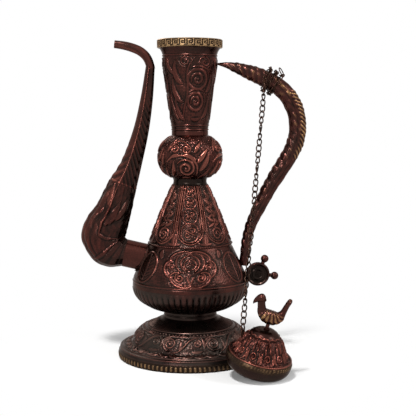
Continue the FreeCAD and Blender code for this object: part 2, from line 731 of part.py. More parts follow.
cap_shares = [
    (1.0, 0.0, 1.4, 0.0, "corner"), (0.97, 0.34, 0.95, -0.4, "corner"), (0.72, 0.75, 0.6, -0.8, "middle"),
    (0.22, 1.0, 0.0, -1.0, "corner"), (0.0, 1.0, 0.0, -1.0, "corner"),
]
peg_hole = f"{cell('peg_radius')} + {cell('solder_gap')}"
cap_rows = sheet_rows(peg_hole, cell("lid_cap_radius"), lid_dome_top, lid_top, cap_shares)
lid_piece(turned("lid_cap", sheet_outline(cap_rows)))

peg_foot = f"{lid_top} - {lid_wall} - {cell('washer_height')} - {cell('solder_gap')}"
peg_top = f"{lid_top} + {cell('peg_length')}"
shoulder_top = f"{lid_top} + {cell('peg_shoulder_height')}"
lid_piece(turned("finial_peg", [
    ("0", peg_foot, "corner"), (cell("peg_radius"), peg_foot, "corner"),
    (cell("peg_radius"), lid_top, "corner"),
    (cell("peg_shoulder_radius"), lid_top, "corner"), (cell("peg_shoulder_radius"), shoulder_top, "corner"),
    (cell("peg_radius"), shoulder_top, "corner"), (cell("peg_radius"), peg_top, "corner"),
    ("0", peg_top, "corner"),
]))
lid_piece(turned("peg_washer", [
    (peg_hole, peg_foot, "corner"), (cell("washer_radius"), peg_foot, "corner"),
    (cell("washer_radius"), f"{peg_foot} + {cell('washer_height')}", "corner"),
    (peg_hole, f"{peg_foot} + {cell('washer_height')}", "corner"),
]))
doc.recompute()

# Bird: one swelling form from neck to tail, with a round head and a short beak
bird_shares = [
    (-0.36, 0.755, 0.42, 0.9), (-0.315, 0.6, 0.44, 0.95), (-0.255, 0.46, 0.68, 0.95),
    (-0.11, 0.36, 0.98, 0.95), (0.09, 0.335, 1.0, 0.95), (0.27, 0.4, 0.76, 0.95),
    (0.345, 0.55, 0.42, 1.1), (0.4, 0.77, 0.3, 1.4), (0.47, 1.0, 0.16, 1.8),
]
bird_head_shares = (-0.37, 0.85)
beak_fall_share = 0.72
beak_root_share = 0.33


def bird_shape():
    # Drawn in the lid's own frame, with its beak towards the spout
    foot = value(lid_top) + size("bird_lift")

    def bird_point(shares):
        return V(size("bird_length") * shares[0], 0, foot + size("bird_height") * shares[1])

    points = [bird_point(shares) for shares in bird_shares]
    wires = []
    last = len(points) - 1
    for k, (point, shares) in enumerate(zip(points, bird_shares)):
        along = points[min(k + 1, last)] - points[max(k - 1, 0)]
        across = along.cross(FRONT)
        across.normalize()
        half = size("bird_girth") * shares[2] / 2
        wires.append(round_wire(point, across, half, half * shares[3]))
    trunk = Part.makeLoft(wires, True, False)
    centre = bird_point(bird_head_shares)
    head = Part.makeSphere(size("bird_head") / 2, centre)
    fall = V(-beak_fall_share, 0, -math.sqrt(1 - beak_fall_share ** 2))
    beak_root = size("bird_head") * beak_root_share
    beak = Part.makeCone(beak_root, 0, beak_root + size("beak_length"), centre, fall)
    socket_radius = size("peg_radius") + size("solder_gap")
    socket_depth = size("peg_length") + size("solder_gap")
    socket = Part.makeCylinder(socket_radius, socket_depth, V(0, 0, value(lid_top)), UP)
    return outer_solid(trunk.multiFuse([head, beak]).cut(socket))


lid_piece(shaped("bird_finial", bird_shape()))

# Staple: a wire loop on the lid's shoulder, whose legs pass through the dome
wrap_share = 0.22
wrap_row = round(wrap_share * (len(handle_points) - 1))
wrap_centre = handle_points[wrap_row]
wrap_axis = handle_points[wrap_row + 1] - wrap_centre
wrap_axis.normalize()
wrap_side = FRONT.cross(wrap_axis)
chain_exit = size("grip_thickness") / 2 + size("link_width") / 2
chain_run_count = 3
turn_link_count = 13
wrap_link_count = 29


def dome_point(reach):
    # The point of the dome's outer line at a distance from the lid's axis, and the normal there
    line = [V(value(radius), 0, value(level)) for radius, level, inward, upward, kind in dome_rows]
    arc = Part.Circle(*line)
    aside = reach - arc.Center.x
    point = V(reach, 0, arc.Center.z + math.sqrt(arc.Radius ** 2 - aside ** 2))
    normal = point - arc.Center
    normal.normalize()
    return point, normal


def staple_frame():
    # Where the staple stands on the lid, and the axis that the lid turns about there
    point, normal = dome_point(size("staple_reach"))
    about = FreeCAD.Rotation(UP, 180 + size("lid_lean") + size("staple_turn"))
    point = lid_place.multVec(about.multVec(point))
    normal = lid_place.Rotation.multVec(about.multVec(normal))
    top = wrap_centre + FRONT * chain_exit
    outward = V(point.x - top.x, point.y - top.y, 0)
    swing = UP.cross(outward)
    swing.normalize()
    upright = normal - swing * normal.dot(swing)
    upright.normalize()
    return point + upright * size("staple_rise"), upright, swing


staple_centre, staple_up, swing_axis = staple_frame()


def staple_legs(radius, length):
    side = swing_axis.cross(staple_up)
    legs = []
    for sign in (1, -1):
        root = staple_centre + side * (sign * size("staple_radius"))
        legs.append(Part.makeCylinder(radius, length, root, staple_up * -1))
    return legs


def staple_shape():
    # Half a ring on two straight legs
    wire = size("staple_wire") / 2
    half = Part.makeTorus(size("staple_radius"), wire, V(0, 0, 0), UP, 0, 360, 180)
    side = swing_axis.cross(staple_up)
    upright = FreeCAD.Rotation(side, staple_up, swing_axis * -1, "ZXY")
    half.Placement = FreeCAD.Placement(staple_centre, upright)
    return half.multiFuse(staple_legs(wire, size("staple_leg"))).removeSplitter().Solids[0]


keep(shaped("lid_staple", staple_shape()))
leg_holes = shaped("staple_holes", Part.makeCompound(
    staple_legs(size("staple_wire") / 2 + size("solder_gap"), size("staple_leg") + size("solder_gap"))))
lid_dome.Placement = lid_place
cut_from("lid_dome", lid_dome, leg_holes)


# Chain: twisted links, wound twice and a quarter about the handle and pulled straight down to the staple
staple_play = size("staple_radius") - (size("staple_wire") + size("link_wire")) / 2 - size("link_gap")
wrap_start = wrap_centre + FRONT * chain_exit
chain_pull = wrap_start - staple_centre
chain_pull.normalize()
chain_end = staple_centre + chain_pull * staple_play
seat_step = size("link_wire") + size("link_gap")
chain_length = (chain_end - wrap_start).Length
links_per_run = round(chain_length / size("link_pitch") / chain_run_count)
link_count = links_per_run * chain_run_count
pitch = (chain_length - seat_step / 2) / (link_count + 1)
half_link = (pitch + seat_step) / 2
link_turn = 360.0 / links_per_run
link_twist = link_turn - 90.0
chain_down = chain_pull * -1


def biarc_joint(start, start_way, end, end_way):
    # The point where two arcs that leave the ends along their directions meet smoothly
    chord = end - start
    lean = 2 * (1 - start_way.dot(end_way))
    along = chord.dot(start_way + end_way)
    reach = (math.sqrt(along ** 2 + lean * chord.dot(chord)) - along) / lean
    return (start + end + (start_way - end_way) * reach) * 0.5


def arc_from(start, way, end):
    # The arc that leaves the start along a direction and ends at the end
    chord = end - start
    aside = way - chord * (way.dot(chord) / chord.dot(chord))
    aside.normalize()
    sag = chord.Length / 2 * math.tan(way.getAngle(chord) / 2)
    return Part.Arc(start, (start + end) * 0.5 + aside * sag, end)


def link_path():
    # Centre line of one link in eight arcs, long axis Z, its two ends turned against each other
    half_width = (size("link_width") - size("link_wire")) / 2
    end_angle = math.radians(link_twist) / 2
    rise = V(0, half_width * end_angle / half_link, 1)
    fall = V(rise.x, rise.y, -1)
    rise.normalize()
    fall.normalize()
    low_way = V(math.cos(end_angle), -math.sin(end_angle), 0)
    high_way = V(-math.cos(end_angle), -math.sin(end_angle), 0)
    marks = [(V(0, 0, -half_link), low_way), (V(half_width, 0, 0), rise),
             (V(0, 0, half_link), high_way), (V(-half_width, 0, 0), fall)]
    arcs = []
    for (start, start_way), (end, end_way) in zip(marks, marks[1:] + marks[:1]):
        joint = biarc_joint(start, start_way, end, end_way)
        first = arc_from(start, start_way, joint)
        arcs.append(first)
        arcs.append(arc_from(joint, first.tangent(first.LastParameter)[0], end))
    return arcs


link_arcs = link_path()


def link_shape():
    # Round wire carried along the two halves of the centre line
    halves = []
    arcs_in_half = len(link_arcs) // 2
    for arcs in (link_arcs[:arcs_in_half], link_arcs[arcs_in_half:]):
        start = arcs[0].StartPoint
        way = arcs[0].tangent(arcs[0].FirstParameter)[0]
        ring = Part.Wire(Part.Circle(start, way, size("link_wire") / 2).toShape())
        halves.append(Part.Wire([arc.toShape() for arc in arcs]).makePipeShell([ring], True, False))
    return halves[0].fuse(halves[1]).removeSplitter().Solids[0]


link_solid = link_shape()
samples_per_arc = 12


def link_points(placement):
    points = []
    for arc in link_arcs:
        start = arc.FirstParameter
        step = (arc.LastParameter - start) / samples_per_arc
        points += [placement.multVec(arc.value(start + step * k)) for k in range(samples_per_arc)]
    return points


def link_placement(start, end, width_way):
    # A link laid from one joint to the next, its broad side along a direction
    down = end - start
    down.normalize()
    width = width_way - down * width_way.dot(down)
    width.normalize()
    return FreeCAD.Placement((start + end) * 0.5, FreeCAD.Rotation(width, down.cross(width), down, "ZXY"))


def hanging_placements():
    # Links down the straight run, each turned against the last; the first one hangs from the wrap
    across = chain_down.cross(swing_axis)
    placements = []
    for k in range(link_count + 1):
        turn = math.radians(k * link_turn - link_twist / 2)
        width = swing_axis * math.cos(turn) + across * math.sin(turn)
        start = wrap_start + chain_down * (k * pitch)
        placements.append(link_placement(start, start + chain_down * pitch, width))
    return placements


def wrap_point(k):
    # Joint k of the turns about the handle, which step sideways by the wrap's pitch each turn
    step = 2 * math.pi / turn_link_count
    sideways = size("wrap_pitch") / turn_link_count
    chord = pitch - size("wrap_slack")
    radius = math.sqrt(chord ** 2 - sideways ** 2) / (2 * math.sin(step / 2))
    way = FRONT * math.cos(k * step) + wrap_side * math.sin(k * step)
    return wrap_start + wrap_axis * (sideways * k) + (way - FRONT) * radius


def wrap_placements():
    # Links from joint to joint round the handle, each turned against the last
    joints = [wrap_point(k) for k in range(wrap_link_count + 1)]
    placements = []
    for k, (before, after) in enumerate(zip(joints, joints[1:])):
        turn = math.radians(size("wrap_roll") + link_turn * k)
        outward = wrap_axis.cross(before - after)
        outward.normalize()
        width = wrap_axis * math.cos(turn) + outward * math.sin(turn)
        placements.append(link_placement(after, before, width))
    return placements


hanging = hanging_placements()
wrap = wrap_placements()


def links_at(placements):
    links = []
    for placement in placements:
        link = link_solid.copy()
        link.Placement = placement
        links.append(link)
    return Part.makeCompound(links)


keep(shaped("chain_wrap", links_at(wrap)))
keep(shaped("chain_hanger", links_at(hanging[:1])))
run_names = ("chain_top_run", "chain_middle_run", "chain_low_run")
for n, name in enumerate(run_names):
    first = 1 + n * links_per_run
    keep(shaped(name, links_at(hanging[first:first + links_per_run])))


def least_gap(placements):
    # Least room between the wires of neighbouring links, measured on points of their centre lines
    gaps = []
    for placement, after in zip(placements, placements[1:]):
        points = link_points(placement)
        gaps += [(p - q).Length for q in link_points(after) for p in points]
    return min(gaps) - size("link_wire")


print("links", link_count, "pitch", round(pitch, 3), "turn per link", round(link_turn, 2))
wound = wrap[::-1] + hanging[:1]
print("least gap, hanging", round(least_gap(hanging), 3), "wrap", round(least_gap(wound), 3))

# Ring through the last link of the wrap
wrap_last = wrap[-1]


def ring_shape():
    end_angle = math.radians(-link_twist / 2)
    wire_way = wrap_last.Rotation.multVec(V(math.cos(end_angle), math.sin(end_angle), 0))
    wire_centre = wrap_last.multVec(V(0, 0, -half_link))
    outward = wire_centre - wrap_centre
    outward = outward - wrap_axis * outward.dot(wrap_axis)
    outward = outward - wire_way * outward.dot(wire_way)
    outward.normalize()
    play = size("ring_radius") - (size("link_wire") + size("ring_wire")) / 2 - size("link_gap")
    print("ring axis", wire_way, "through", wire_centre)
    return Part.makeTorus(size("ring_radius"), size("ring_wire") / 2, wire_centre + outward * play, wire_way)


keep(shaped("chain_ring", ring_shape()))
doc.recompute()

for item in doc.Objects:
    if "Invalid" in item.State or "Error" in item.State:
        raise RuntimeError(f"{item.Label} did not build: {item.State}")
for piece in pieces:
    if piece.Shape.isNull() or not piece.Shape.isValid() or not piece.Shape.Solids:
        raise RuntimeError(f"{piece.Label} has no sound solid")

os.makedirs("parts", exist_ok=True)
for piece in pieces:
    piece.Shape.exportStep(f"parts/{piece.Label}.step")
print("pieces", len(pieces))
print("swing axis", swing_axis, "down", chain_down)
for n in range(chain_run_count + 1):
    print("hinge", n, hanging[n * links_per_run].multVec(V(0, 0, half_link)))
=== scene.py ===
import functools
import math

import bmesh
import bpy
import numpy as np
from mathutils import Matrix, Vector
from mathutils.bvhtree import BVHTree


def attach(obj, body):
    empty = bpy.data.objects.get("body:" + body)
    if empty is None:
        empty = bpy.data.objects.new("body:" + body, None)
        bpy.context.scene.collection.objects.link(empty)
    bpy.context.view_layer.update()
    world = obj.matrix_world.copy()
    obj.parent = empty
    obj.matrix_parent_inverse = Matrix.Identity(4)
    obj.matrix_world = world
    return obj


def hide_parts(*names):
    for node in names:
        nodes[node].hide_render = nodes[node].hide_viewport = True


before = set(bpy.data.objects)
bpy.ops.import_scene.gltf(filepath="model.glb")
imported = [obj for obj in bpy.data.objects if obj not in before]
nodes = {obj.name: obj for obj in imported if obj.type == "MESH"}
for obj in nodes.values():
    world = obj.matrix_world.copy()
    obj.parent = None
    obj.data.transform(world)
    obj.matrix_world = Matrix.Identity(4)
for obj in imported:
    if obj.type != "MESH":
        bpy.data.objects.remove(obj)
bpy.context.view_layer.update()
mm = 0.001
tau = 2 * math.pi
print("frame loaded:", len(nodes), "nodes")


# Shader trees

def plug(tree, slot, value):
    # another node's socket is linked, anything else is set as a constant
    if isinstance(value, bpy.types.NodeSocket):
        tree.links.new(value, slot)
    else:
        slot.default_value = value


def wire(tree, kind, output, inputs=None, **settings):
    # a new node with its settings and then its inputs; gives back the output asked for
    node = tree.nodes.new("ShaderNode" + kind)
    for name, value in settings.items():
        setattr(node, name, value)
    for name, value in (inputs or {}).items():
        plug(tree, node.inputs[name], value)
    return node.outputs[output]


# Camera, in pixels, degrees and millimetres

photoView = {"width": 416, "focal": 920.0, "axisColumn": 190.0, "tilt": 5.957, "distance": 959.25,
             "height": 256.2, "sensor": 36.0}


def addCamera(view):
    # the lens follows from the focal length in pixels; a small turn sets the ewer left of the middle
    camera = bpy.data.objects.new("photoCamera", bpy.data.cameras.new("photoCamera"))
    camera.data.sensor_width = view["sensor"]
    camera.data.lens = view["sensor"] * view["focal"] / view["width"]
    yaw = math.atan((view["width"] / 2 - view["axisColumn"]) / view["focal"])
    camera.location = (0, -view["distance"] * mm, view["height"] * mm)
    camera.rotation_euler = (math.radians(90 - view["tilt"]), 0, -yaw)
    bpy.context.scene.collection.objects.link(camera)
    bpy.context.scene.camera = camera


# Lamps, pale room and floor, in metres and watts

studio = {
    "shade": 0.25,  # strength of the room in the shadows
    "lamps": [  # name, place, side, watts
        ("keyLamp", (-0.25, -0.68, 1.25), 0.18, 15.0),
        ("frontLamp", (-0.55, -1.1, 0.6), 0.25, 5.0),
        ("rightLamp", (0.95, -0.45, 0.8), 0.4, 4.0),
        ("backLamp", (-0.5, 0.9, 0.9), 0.3, 3.0),
    ],
    "aim": (0.0, 0.0, 0.16),
    "floorSide": 8.0, "floorColor": (0.94, 0.94, 0.935), "floorRough": 0.9, "floorGloss": 0.1,
    "floorFade": (0.09, 0.22),  # from the shadow to plain white
}


def roomRays(tree):
    # 1 where the camera, metal or glass sees the room, 0 where the room lights the object
    path = tree.nodes.new("ShaderNodeLightPath")
    seen = path.outputs["Is Camera Ray"]
    for ray in ("Is Glossy Ray", "Is Transmission Ray"):
        seen = wire(tree, "Math", 0, {0: seen, 1: path.outputs[ray]}, operation="MAXIMUM")
    return seen


def floorPaint(spec):
    # a matt floor that takes the shadow, and turns plain white with the distance from the object
    paint = bpy.data.materials.new("paleFloor")
    paint.use_nodes = True
    tree = paint.node_tree
    shader = tree.nodes["Principled BSDF"]
    shader.inputs["Base Color"].default_value = (*spec["floorColor"], 1)
    shader.inputs["Roughness"].default_value = spec["floorRough"]
    shader.inputs["Specular IOR Level"].default_value = spec["floorGloss"]
    away = wire(tree, "VectorMath", "Value", {0: wire(tree, "TexCoord", "Object")}, operation="LENGTH")
    near, far = spec["floorFade"]
    ends = {"Value": away, "From Min": near, "From Max": far}
    fade = wire(tree, "MapRange", "Result", ends, interpolation_type="SMOOTHSTEP")
    share = wire(tree, "Math", 0, {0: roomRays(tree), 1: fade}, operation="MULTIPLY")
    glow = wire(tree, "Emission", "Emission")
    blend = wire(tree, "MixShader", "Shader", {"Fac": share, 1: shader.outputs["BSDF"], 2: glow})
    plug(tree, tree.nodes["Material Output"].inputs["Surface"], blend)
    return paint


def addStudio(spec):
    # a white room that lights the object at its shade strength, lamps turned to the aim, and a floor
    scene = bpy.context.scene
    scene.view_settings.view_transform = "Standard"
    scene.world = bpy.data.worlds.new("studio")
    scene.world.use_nodes = True
    tree = scene.world.node_tree
    background = tree.nodes["Background"]
    background.inputs["Color"].default_value = (1, 1, 1, 1)
    strength = wire(tree, "MapRange", "Result", {"Value": roomRays(tree), "To Min": spec["shade"]})
    plug(tree, background.inputs["Strength"], strength)
    for name, place, side, watts in spec["lamps"]:
        lamp = bpy.data.objects.new(name, bpy.data.lights.new(name, "AREA"))
        lamp.data.size = side
        lamp.data.energy = watts
        lamp.location = place
        lamp.rotation_euler = (Vector(spec["aim"]) - Vector(place)).to_track_quat("-Z", "Y").to_euler()
        scene.collection.objects.link(lamp)
    half = spec["floorSide"] / 2
    corners = [(-half, -half, 0), (half, -half, 0), (half, half, 0), (-half, half, 0)]
    mesh = bpy.data.meshes.new("floor")
    mesh.from_pydata(corners, [], [(0, 1, 2, 3)])
    mesh.materials.append(floorPaint(spec))
    floor = bpy.data.objects.new("floor", mesh)
    scene.collection.objects.link(floor)


addCamera(photoView)
addStudio(studio)
print("camera and studio set")


# Finishes: the tone of a surface runs from 0 in a recess to 1 on a worn crest

finishes = {
    "agedBrass": {
        "stops": [(0.0, (0.0045, 0.0038, 0.0034)), (0.28, (0.024, 0.0105, 0.0088)),
                  (0.58, (0.08, 0.0225, 0.0172)), (1.0, (0.29, 0.092, 0.064))],
        "film": (0.03, 0.023, 0.018), "filmShare": 0.45, "rough": (0.18, 0.33), "slot": "aged_brass"},
    "smokedBrass": {
        "stops": [(0.0, (0.0045, 0.0038, 0.0034)), (0.28, (0.019, 0.0105, 0.009)),
                  (0.58, (0.062, 0.024, 0.019)), (1.0, (0.22, 0.088, 0.065))],
        "film": (0.034, 0.029, 0.024), "filmShare": 0.75, "rough": (0.24, 0.4), "slot": "aged_brass"},
    "brightBrass": {
        "stops": [(0.0, (0.004, 0.003, 0.002)), (0.35, (0.022, 0.011, 0.007)),
                  (0.7, (0.19, 0.108, 0.052)), (1.0, (0.46, 0.29, 0.14))],
        "film": (0.035, 0.024, 0.016), "filmShare": 0.65, "rough": (0.22, 0.42), "slot": "bright_brass"},
    "wornBrass": {
        "stops": [(0.0, (0.004, 0.003, 0.003)), (0.3, (0.024, 0.0095, 0.008)),
                  (0.6, (0.07, 0.02, 0.016)), (1.0, (0.36, 0.2, 0.085))],
        "film": (0.03, 0.022, 0.017), "filmShare": 0.45, "rough": (0.17, 0.32), "slot": "worn_brass"},
    "chainBrass": {
        "stops": [(0.0, (0.004, 0.003, 0.002)), (0.4, (0.026, 0.012, 0.008)),
                  (0.7, (0.06, 0.025, 0.017)), (1.0, (0.16, 0.08, 0.045))],
        "film": (0.03, 0.022, 0.015), "filmShare": 0.4, "rough": (0.2, 0.36), "slot": "chain_brass"},
}
finishes["rubbedBrass"] = {**finishes["agedBrass"], "filmShare": 0.25, "rough": (0.13, 0.24)}
# a redder, glossier finish for the spout's stub: partly its own colour, partly a painted highlight
finishes["redSheenBrass"] = {**finishes["agedBrass"], "filmShare": 0.2, "rough": (0.1, 0.2)}
metal = {
    "metallic": 0.92,
    "edgeTint": (0.6, 0.56, 0.54),  # how much of the pale room shows where the metal turns away
    "patches": (55.0, 4.0), "grain": (700.0, 3.0), "film": (33.0, 5.0),  # clouds per metre, and their detail
    "patchShift": 0.1, "grainShift": 0.07,  # how far they move the tone
    "cloudSpan": (0.3, 0.7),
    "pitStrength": 0.25, "pitDepth": 0.0003,
}


@functools.cache
def metalFinish(name, tone=None):
    # colour from the tone, carved or even, moved by patches and grain; a dull film lies over it in clouds
    spec = finishes[name]
    finish = bpy.data.materials.new(name if tone is None else name + "Plain")
    finish.use_nodes = True
    tree = finish.node_tree
    place = wire(tree, "TexCoord", "Object")

    def cloud(kind):
        scale, detail = metal[kind]
        return wire(tree, "TexNoise", "Fac", {"Scale": scale, "Detail": detail, "Vector": place})

    def spread(source, low, high):
        first, last = metal["cloudSpan"]
        ends = {"Value": source, "From Min": first, "From Max": last, "To Min": low, "To Max": high}
        return wire(tree, "MapRange", "Result", ends)

    patches = cloud("patches")
    grain = cloud("grain")
    if tone is None:
        tone = wire(tree, "Attribute", "Fac", attribute_name="tone")
    for source, shift in ((patches, metal["patchShift"]), (grain, metal["grainShift"])):
        tone = wire(tree, "Math", 0, {0: tone, 1: spread(source, -shift, shift)})
    ramp = tree.nodes.new("ShaderNodeValToRGB")
    stops = ramp.color_ramp.elements
    while len(stops) < len(spec["stops"]):
        stops.new(0.5)
    for stop, (position, color) in zip(stops, spec["stops"]):
        stop.position = position
        stop.color = (*color, 1)
    plug(tree, ramp.inputs["Fac"], tone)
    film = {"Factor": spread(cloud("film"), 0.0, spec["filmShare"]),
            "A": ramp.outputs["Color"], "B": (*spec["film"], 1)}
    pits = {"Strength": metal["pitStrength"], "Distance": metal["pitDepth"], "Height": grain}
    inputs = {"Metallic": metal["metallic"], "Specular Tint": (*metal["edgeTint"], 1),
              "Base Color": wire(tree, "Mix", "Result", film, data_type="RGBA"),
              "Roughness": spread(patches, *spec["rough"]), "Normal": wire(tree, "Bump", "Normal", pits)}
    for socket, value in inputs.items():
        plug(tree, tree.nodes["Principled BSDF"].inputs[socket], value)
    return finish


print("finishes ready:", len(finishes))


# Meshes from grids

mergeDistance = 2e-6  # metres
sharpAngle = math.radians(65)
insideTone = 0.25


def gridPiece(spec, points, tone, closed, body="ewer"):
    # a grid of points joined round its first direction, and along its second too where it is closed
    around, along = points.shape[:2]
    i = np.arange(around)[:, None]
    j = np.arange(along if closed else along - 1)[None, :]
    after = (i + 1) % around
    above = (j + 1) % along
    corners = np.stack([i * along + j, after * along + j, after * along + above, i * along + above], axis=-1)
    corners = corners.reshape(-1, 4)
    mesh = bpy.data.meshes.new(spec["name"])
    mesh.vertices.add(around * along)
    mesh.vertices.foreach_set("co", points.reshape(-1).astype(np.float32))
    mesh.loops.add(corners.size)
    mesh.loops.foreach_set("vertex_index", corners.reshape(-1).astype(np.int32))
    mesh.polygons.add(len(corners))
    mesh.polygons.foreach_set("loop_start", np.arange(0, corners.size, 4, dtype=np.int32))
    mesh.polygons.foreach_set("use_smooth", np.ones(len(corners), dtype=bool))
    mesh.update(calc_edges=True)
    layer = mesh.attributes.new("tone", "FLOAT", "POINT")
    layer.data.foreach_set("value", np.clip(tone, 0, 1).reshape(-1).astype(np.float32))
    shell = bmesh.new()
    shell.from_mesh(mesh)
    bmesh.ops.remove_doubles(shell, verts=shell.verts, dist=mergeDistance)
    shell.to_mesh(mesh)
    shell.free()
    mesh.validate()
    mesh.set_sharp_from_angle(angle=sharpAngle)
    mesh.materials.append(metalFinish(spec["look"]))
    piece = bpy.data.objects.new(spec["name"], mesh)
    bpy.context.scene.collection.objects.link(piece)
    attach(piece, body)
    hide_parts(spec["node"])


def turns(count):
    # angles once round, evenly spread
    return np.arange(count) / count * tau


def lengths(rows):
    # the length run along a line of points
    return np.r_[0, np.cumsum(np.linalg.norm(np.diff(rows, axis=0), axis=1))]


def spaced(rows, count):
    # a line's points set anew at even lengths
    run = lengths(rows)
    even = np.linspace(0, run[-1], count)
    return np.stack([np.interp(even, run, rows[:, 0]), np.interp(even, run, rows[:, 1])], axis=1)


def capped(points):
    # both ends of a grid drawn in to a point
    first, last = [np.broadcast_to(points[:, k].mean(axis=0), points[:, k].shape)[:, None] for k in (0, -1)]
    return np.concatenate([first, points, last], axis=1)


def nodePoints(name):
    # a CAD node's corner points, each of them once
    return np.unique(np.round([v.co for v in nodes[name].data.vertices], 6), axis=0)


def axisFrame(name):
    # centre and axes of a turned ring, whose points spread least along its turning axis
    points = nodePoints(name)
    centre = points.mean(axis=0)
    up = np.linalg.svd(points - centre)[2][2]
    up = up * np.sign(up[2])
    front = np.array([0.0, -1.0, 0.0])
    front = front - up * front.dot(up)
    front = front / np.linalg.norm(front)
    return centre, np.cross(up, front), front, up


uprightAxis = (np.zeros(3), np.array([1.0, 0, 0]), np.array([0.0, -1.0, 0]), np.array([0, 0, 1.0]))
lidAxis = axisFrame("lid_lip")
rays = {"far": 0.5, "edge": 0.02 * mm, "outside": 600, "inside": 200, "fewest": 4, "innerPoints": 16}


def wallLines(spec, axis):
    # the CAD wall's outer and inner lines, as radius and level, from rays square to the turning axis
    centre, right, front, up = axis
    mesh = nodes[spec["node"]].data
    local = (np.array([v.co for v in mesh.vertices]) - centre) @ np.stack([right, front, up], axis=1)
    tree = BVHTree.FromPolygons(local.tolist(), [tuple(face.vertices) for face in mesh.polygons])
    low, high = local[:, 2].min(), local[:, 2].max()

    def line(start, way, foot, count):
        rows = []
        for level in np.linspace(foot + rays["edge"], high - rays["edge"], count):
            hit = tree.ray_cast(Vector((start, 0, level)), Vector((way, 0, 0)))[0]
            if hit is not None:
                rows.append((hit.x, level))
        return np.array(rows)

    outer = line(rays["far"], -1, low, rays["outside"])
    steps = max(int(lengths(outer)[-1] / (spec["step"] * mm)), rays["fewest"])
    inner = line(0, 1, spec.get("floorLevel", low), rays["inside"])
    return spaced(outer, steps + 1), spaced(inner, rays["innerPoints"])


def turnedPiece(spec, carve, axis=uprightAxis, body="ewer"):
    # outer wall raised along its own normal by the carving, inner wall plain, both turned about the axis
    outer, inner = wallLines(spec, axis)
    if "drawn" in spec:  # the wall narrows above its foot and comes back at its top
        foot, top = outer[0, 1], outer[-1, 1]
        for wall in (outer, inner):
            share = np.clip((wall[:, 1] - foot) / (top - foot), 0, 1)
            wall[:, 0] *= 1 - np.interp(share, *spec["drawn"])
    turn = turns(spec["around"])
    slope = np.gradient(outer, axis=0)
    slope = slope / np.linalg.norm(slope, axis=1)[:, None]
    run = lengths(outer) / mm
    theta, radius = np.meshgrid(turn, outer[:, 0] / mm, indexing="ij")
    level = np.broadcast_to(outer[:, 1] / mm, theta.shape)
    height, tone = carve(theta, radius, level, np.broadcast_to(run, theta.shape))
    height = height * np.clip(np.minimum(run, run[-1] - run) / spec.get("edge", 0.8), 0, 1) * mm
    lines = [(outer[:, 0] + height * slope[:, 1], outer[:, 1] - height * slope[:, 0], tone)]
    inside = (inner[::-1, 0], inner[::-1, 1], insideTone)
    lines.append([np.broadcast_to(values, (len(turn), len(inner))) for values in inside])
    if "floorLevel" in spec:
        pole = np.zeros((len(turn), 1))
        lines.append((pole, pole + spec["floorLevel"], pole + insideTone))
        lines.insert(0, (pole, pole + outer[0, 1], pole + insideTone))
    radius, level, tone = [np.concatenate(parts, axis=1) for parts in zip(*lines)]
    centre, right, front, up = axis
    angle = turn[:, None, None]
    out = right * np.sin(angle) + front * np.cos(angle)
    points = centre + out * radius[..., None] + up * level[..., None]
    gridPiece(spec, points, tone, "floorLevel" not in spec, body)


def evenTone(tone):
    # a carving that leaves the wall plain
    return lambda theta, radius, level, run: (0 * theta, 0 * theta + tone)


# Chased lines: every motif is a set of strokes in millimetres on the unrolled wall

farAway = 1e3  # where no stroke reaches
stroke = {"reach": 1.9, "veinDepth": 0.4, "veinWidth": 0.25, "cutAt": 1.3, "cutWidth": 0.55}


def bump(share):
    # a round-shouldered hump: one less the share squared, squared again, and nothing past share 1
    return np.clip(1 - share * share, 0, None) ** 2


def ease(value, low, high):
    # 0 up to low, 1 from high on, and a smooth S between them
    share = np.clip((value - low) / (high - low), 0, 1)
    return share * share * (3 - 2 * share)


def span(value, first, full, fall, last):
    # rises from first to full, and falls again from fall to last
    return ease(value, first, full) * (1 - ease(value, fall, last))


def fold(theta, repeats, turn=0.0):
    # the angle from the middle of the nearest repeat
    period = tau / repeats
    return (theta - turn + period / 2) % period - period / 2


def spiral(centre, start, end, angle, rounds, count):
    # the radius goes evenly from start to end while the line turns
    t = np.linspace(0, 1, count)
    turn = math.radians(angle) + tau * rounds * t
    radius = start + (end - start) * t
    return np.stack([centre[0] + radius * np.cos(turn), centre[1] + radius * np.sin(turn)], axis=1)


def bend(*points, count=14):
    # a curve drawn out by its given points, of any degree
    t = np.linspace(0, 1, count)[:, None]
    rows = [np.array(point, float) * np.ones_like(t) for point in points]
    while len(rows) > 1:
        rows = [a + (b - a) * t for a, b in zip(rows, rows[1:])]
    return rows[0]


def ridge(points, width=0.8, rise=0.7, tip=0.45):
    # a round bar, drawn thinner at both ends
    share = np.linspace(0, 1, len(points))
    taper = 1 - (1 - tip) * np.abs(2 * share - 1) ** 3
    return (np.asarray(points), 1.4 * width * taper, rise, "ridge")


def leaf(points, width, rise):
    # widest before its middle, with a sunk vein
    share = np.linspace(0, 1, len(points))
    return (np.asarray(points), 0.15 + 1.15 * width * np.sin(math.pi * share ** 0.8) ** 0.9, rise, "leaf")


def boss(place, radius=1.2, rise=0.8):
    # a round button, as a stroke of next to no length
    place = np.array(place, float)
    return (np.stack([place, place + (1e-3, 0)]), np.full(2, radius), rise, "boss")


def ridges(*rows):
    # rows of width, rise and the points that bend the line
    return [ridge(bend(*points), width, rise) for width, rise, *points in rows]


def leaves(*rows):
    # rows of width, rise and the points that bend the leaf
    return [leaf(bend(*points), width, rise) for width, rise, *points in rows]


def scroll(place, start, end, angle, rounds, count, width=0.8, rise=0.7, eye=1.2, eyeRise=0.8):
    # a spiral bar with a button in its eye
    return [ridge(spiral(place, start, end, angle, rounds, count), width, rise), boss(place, eye, eyeRise)]


def mirrored(strokes):
    # the same strokes on the other side of the middle line
    return [(points * (-1, 1), width, rise, kind) for points, width, rise, kind in strokes]


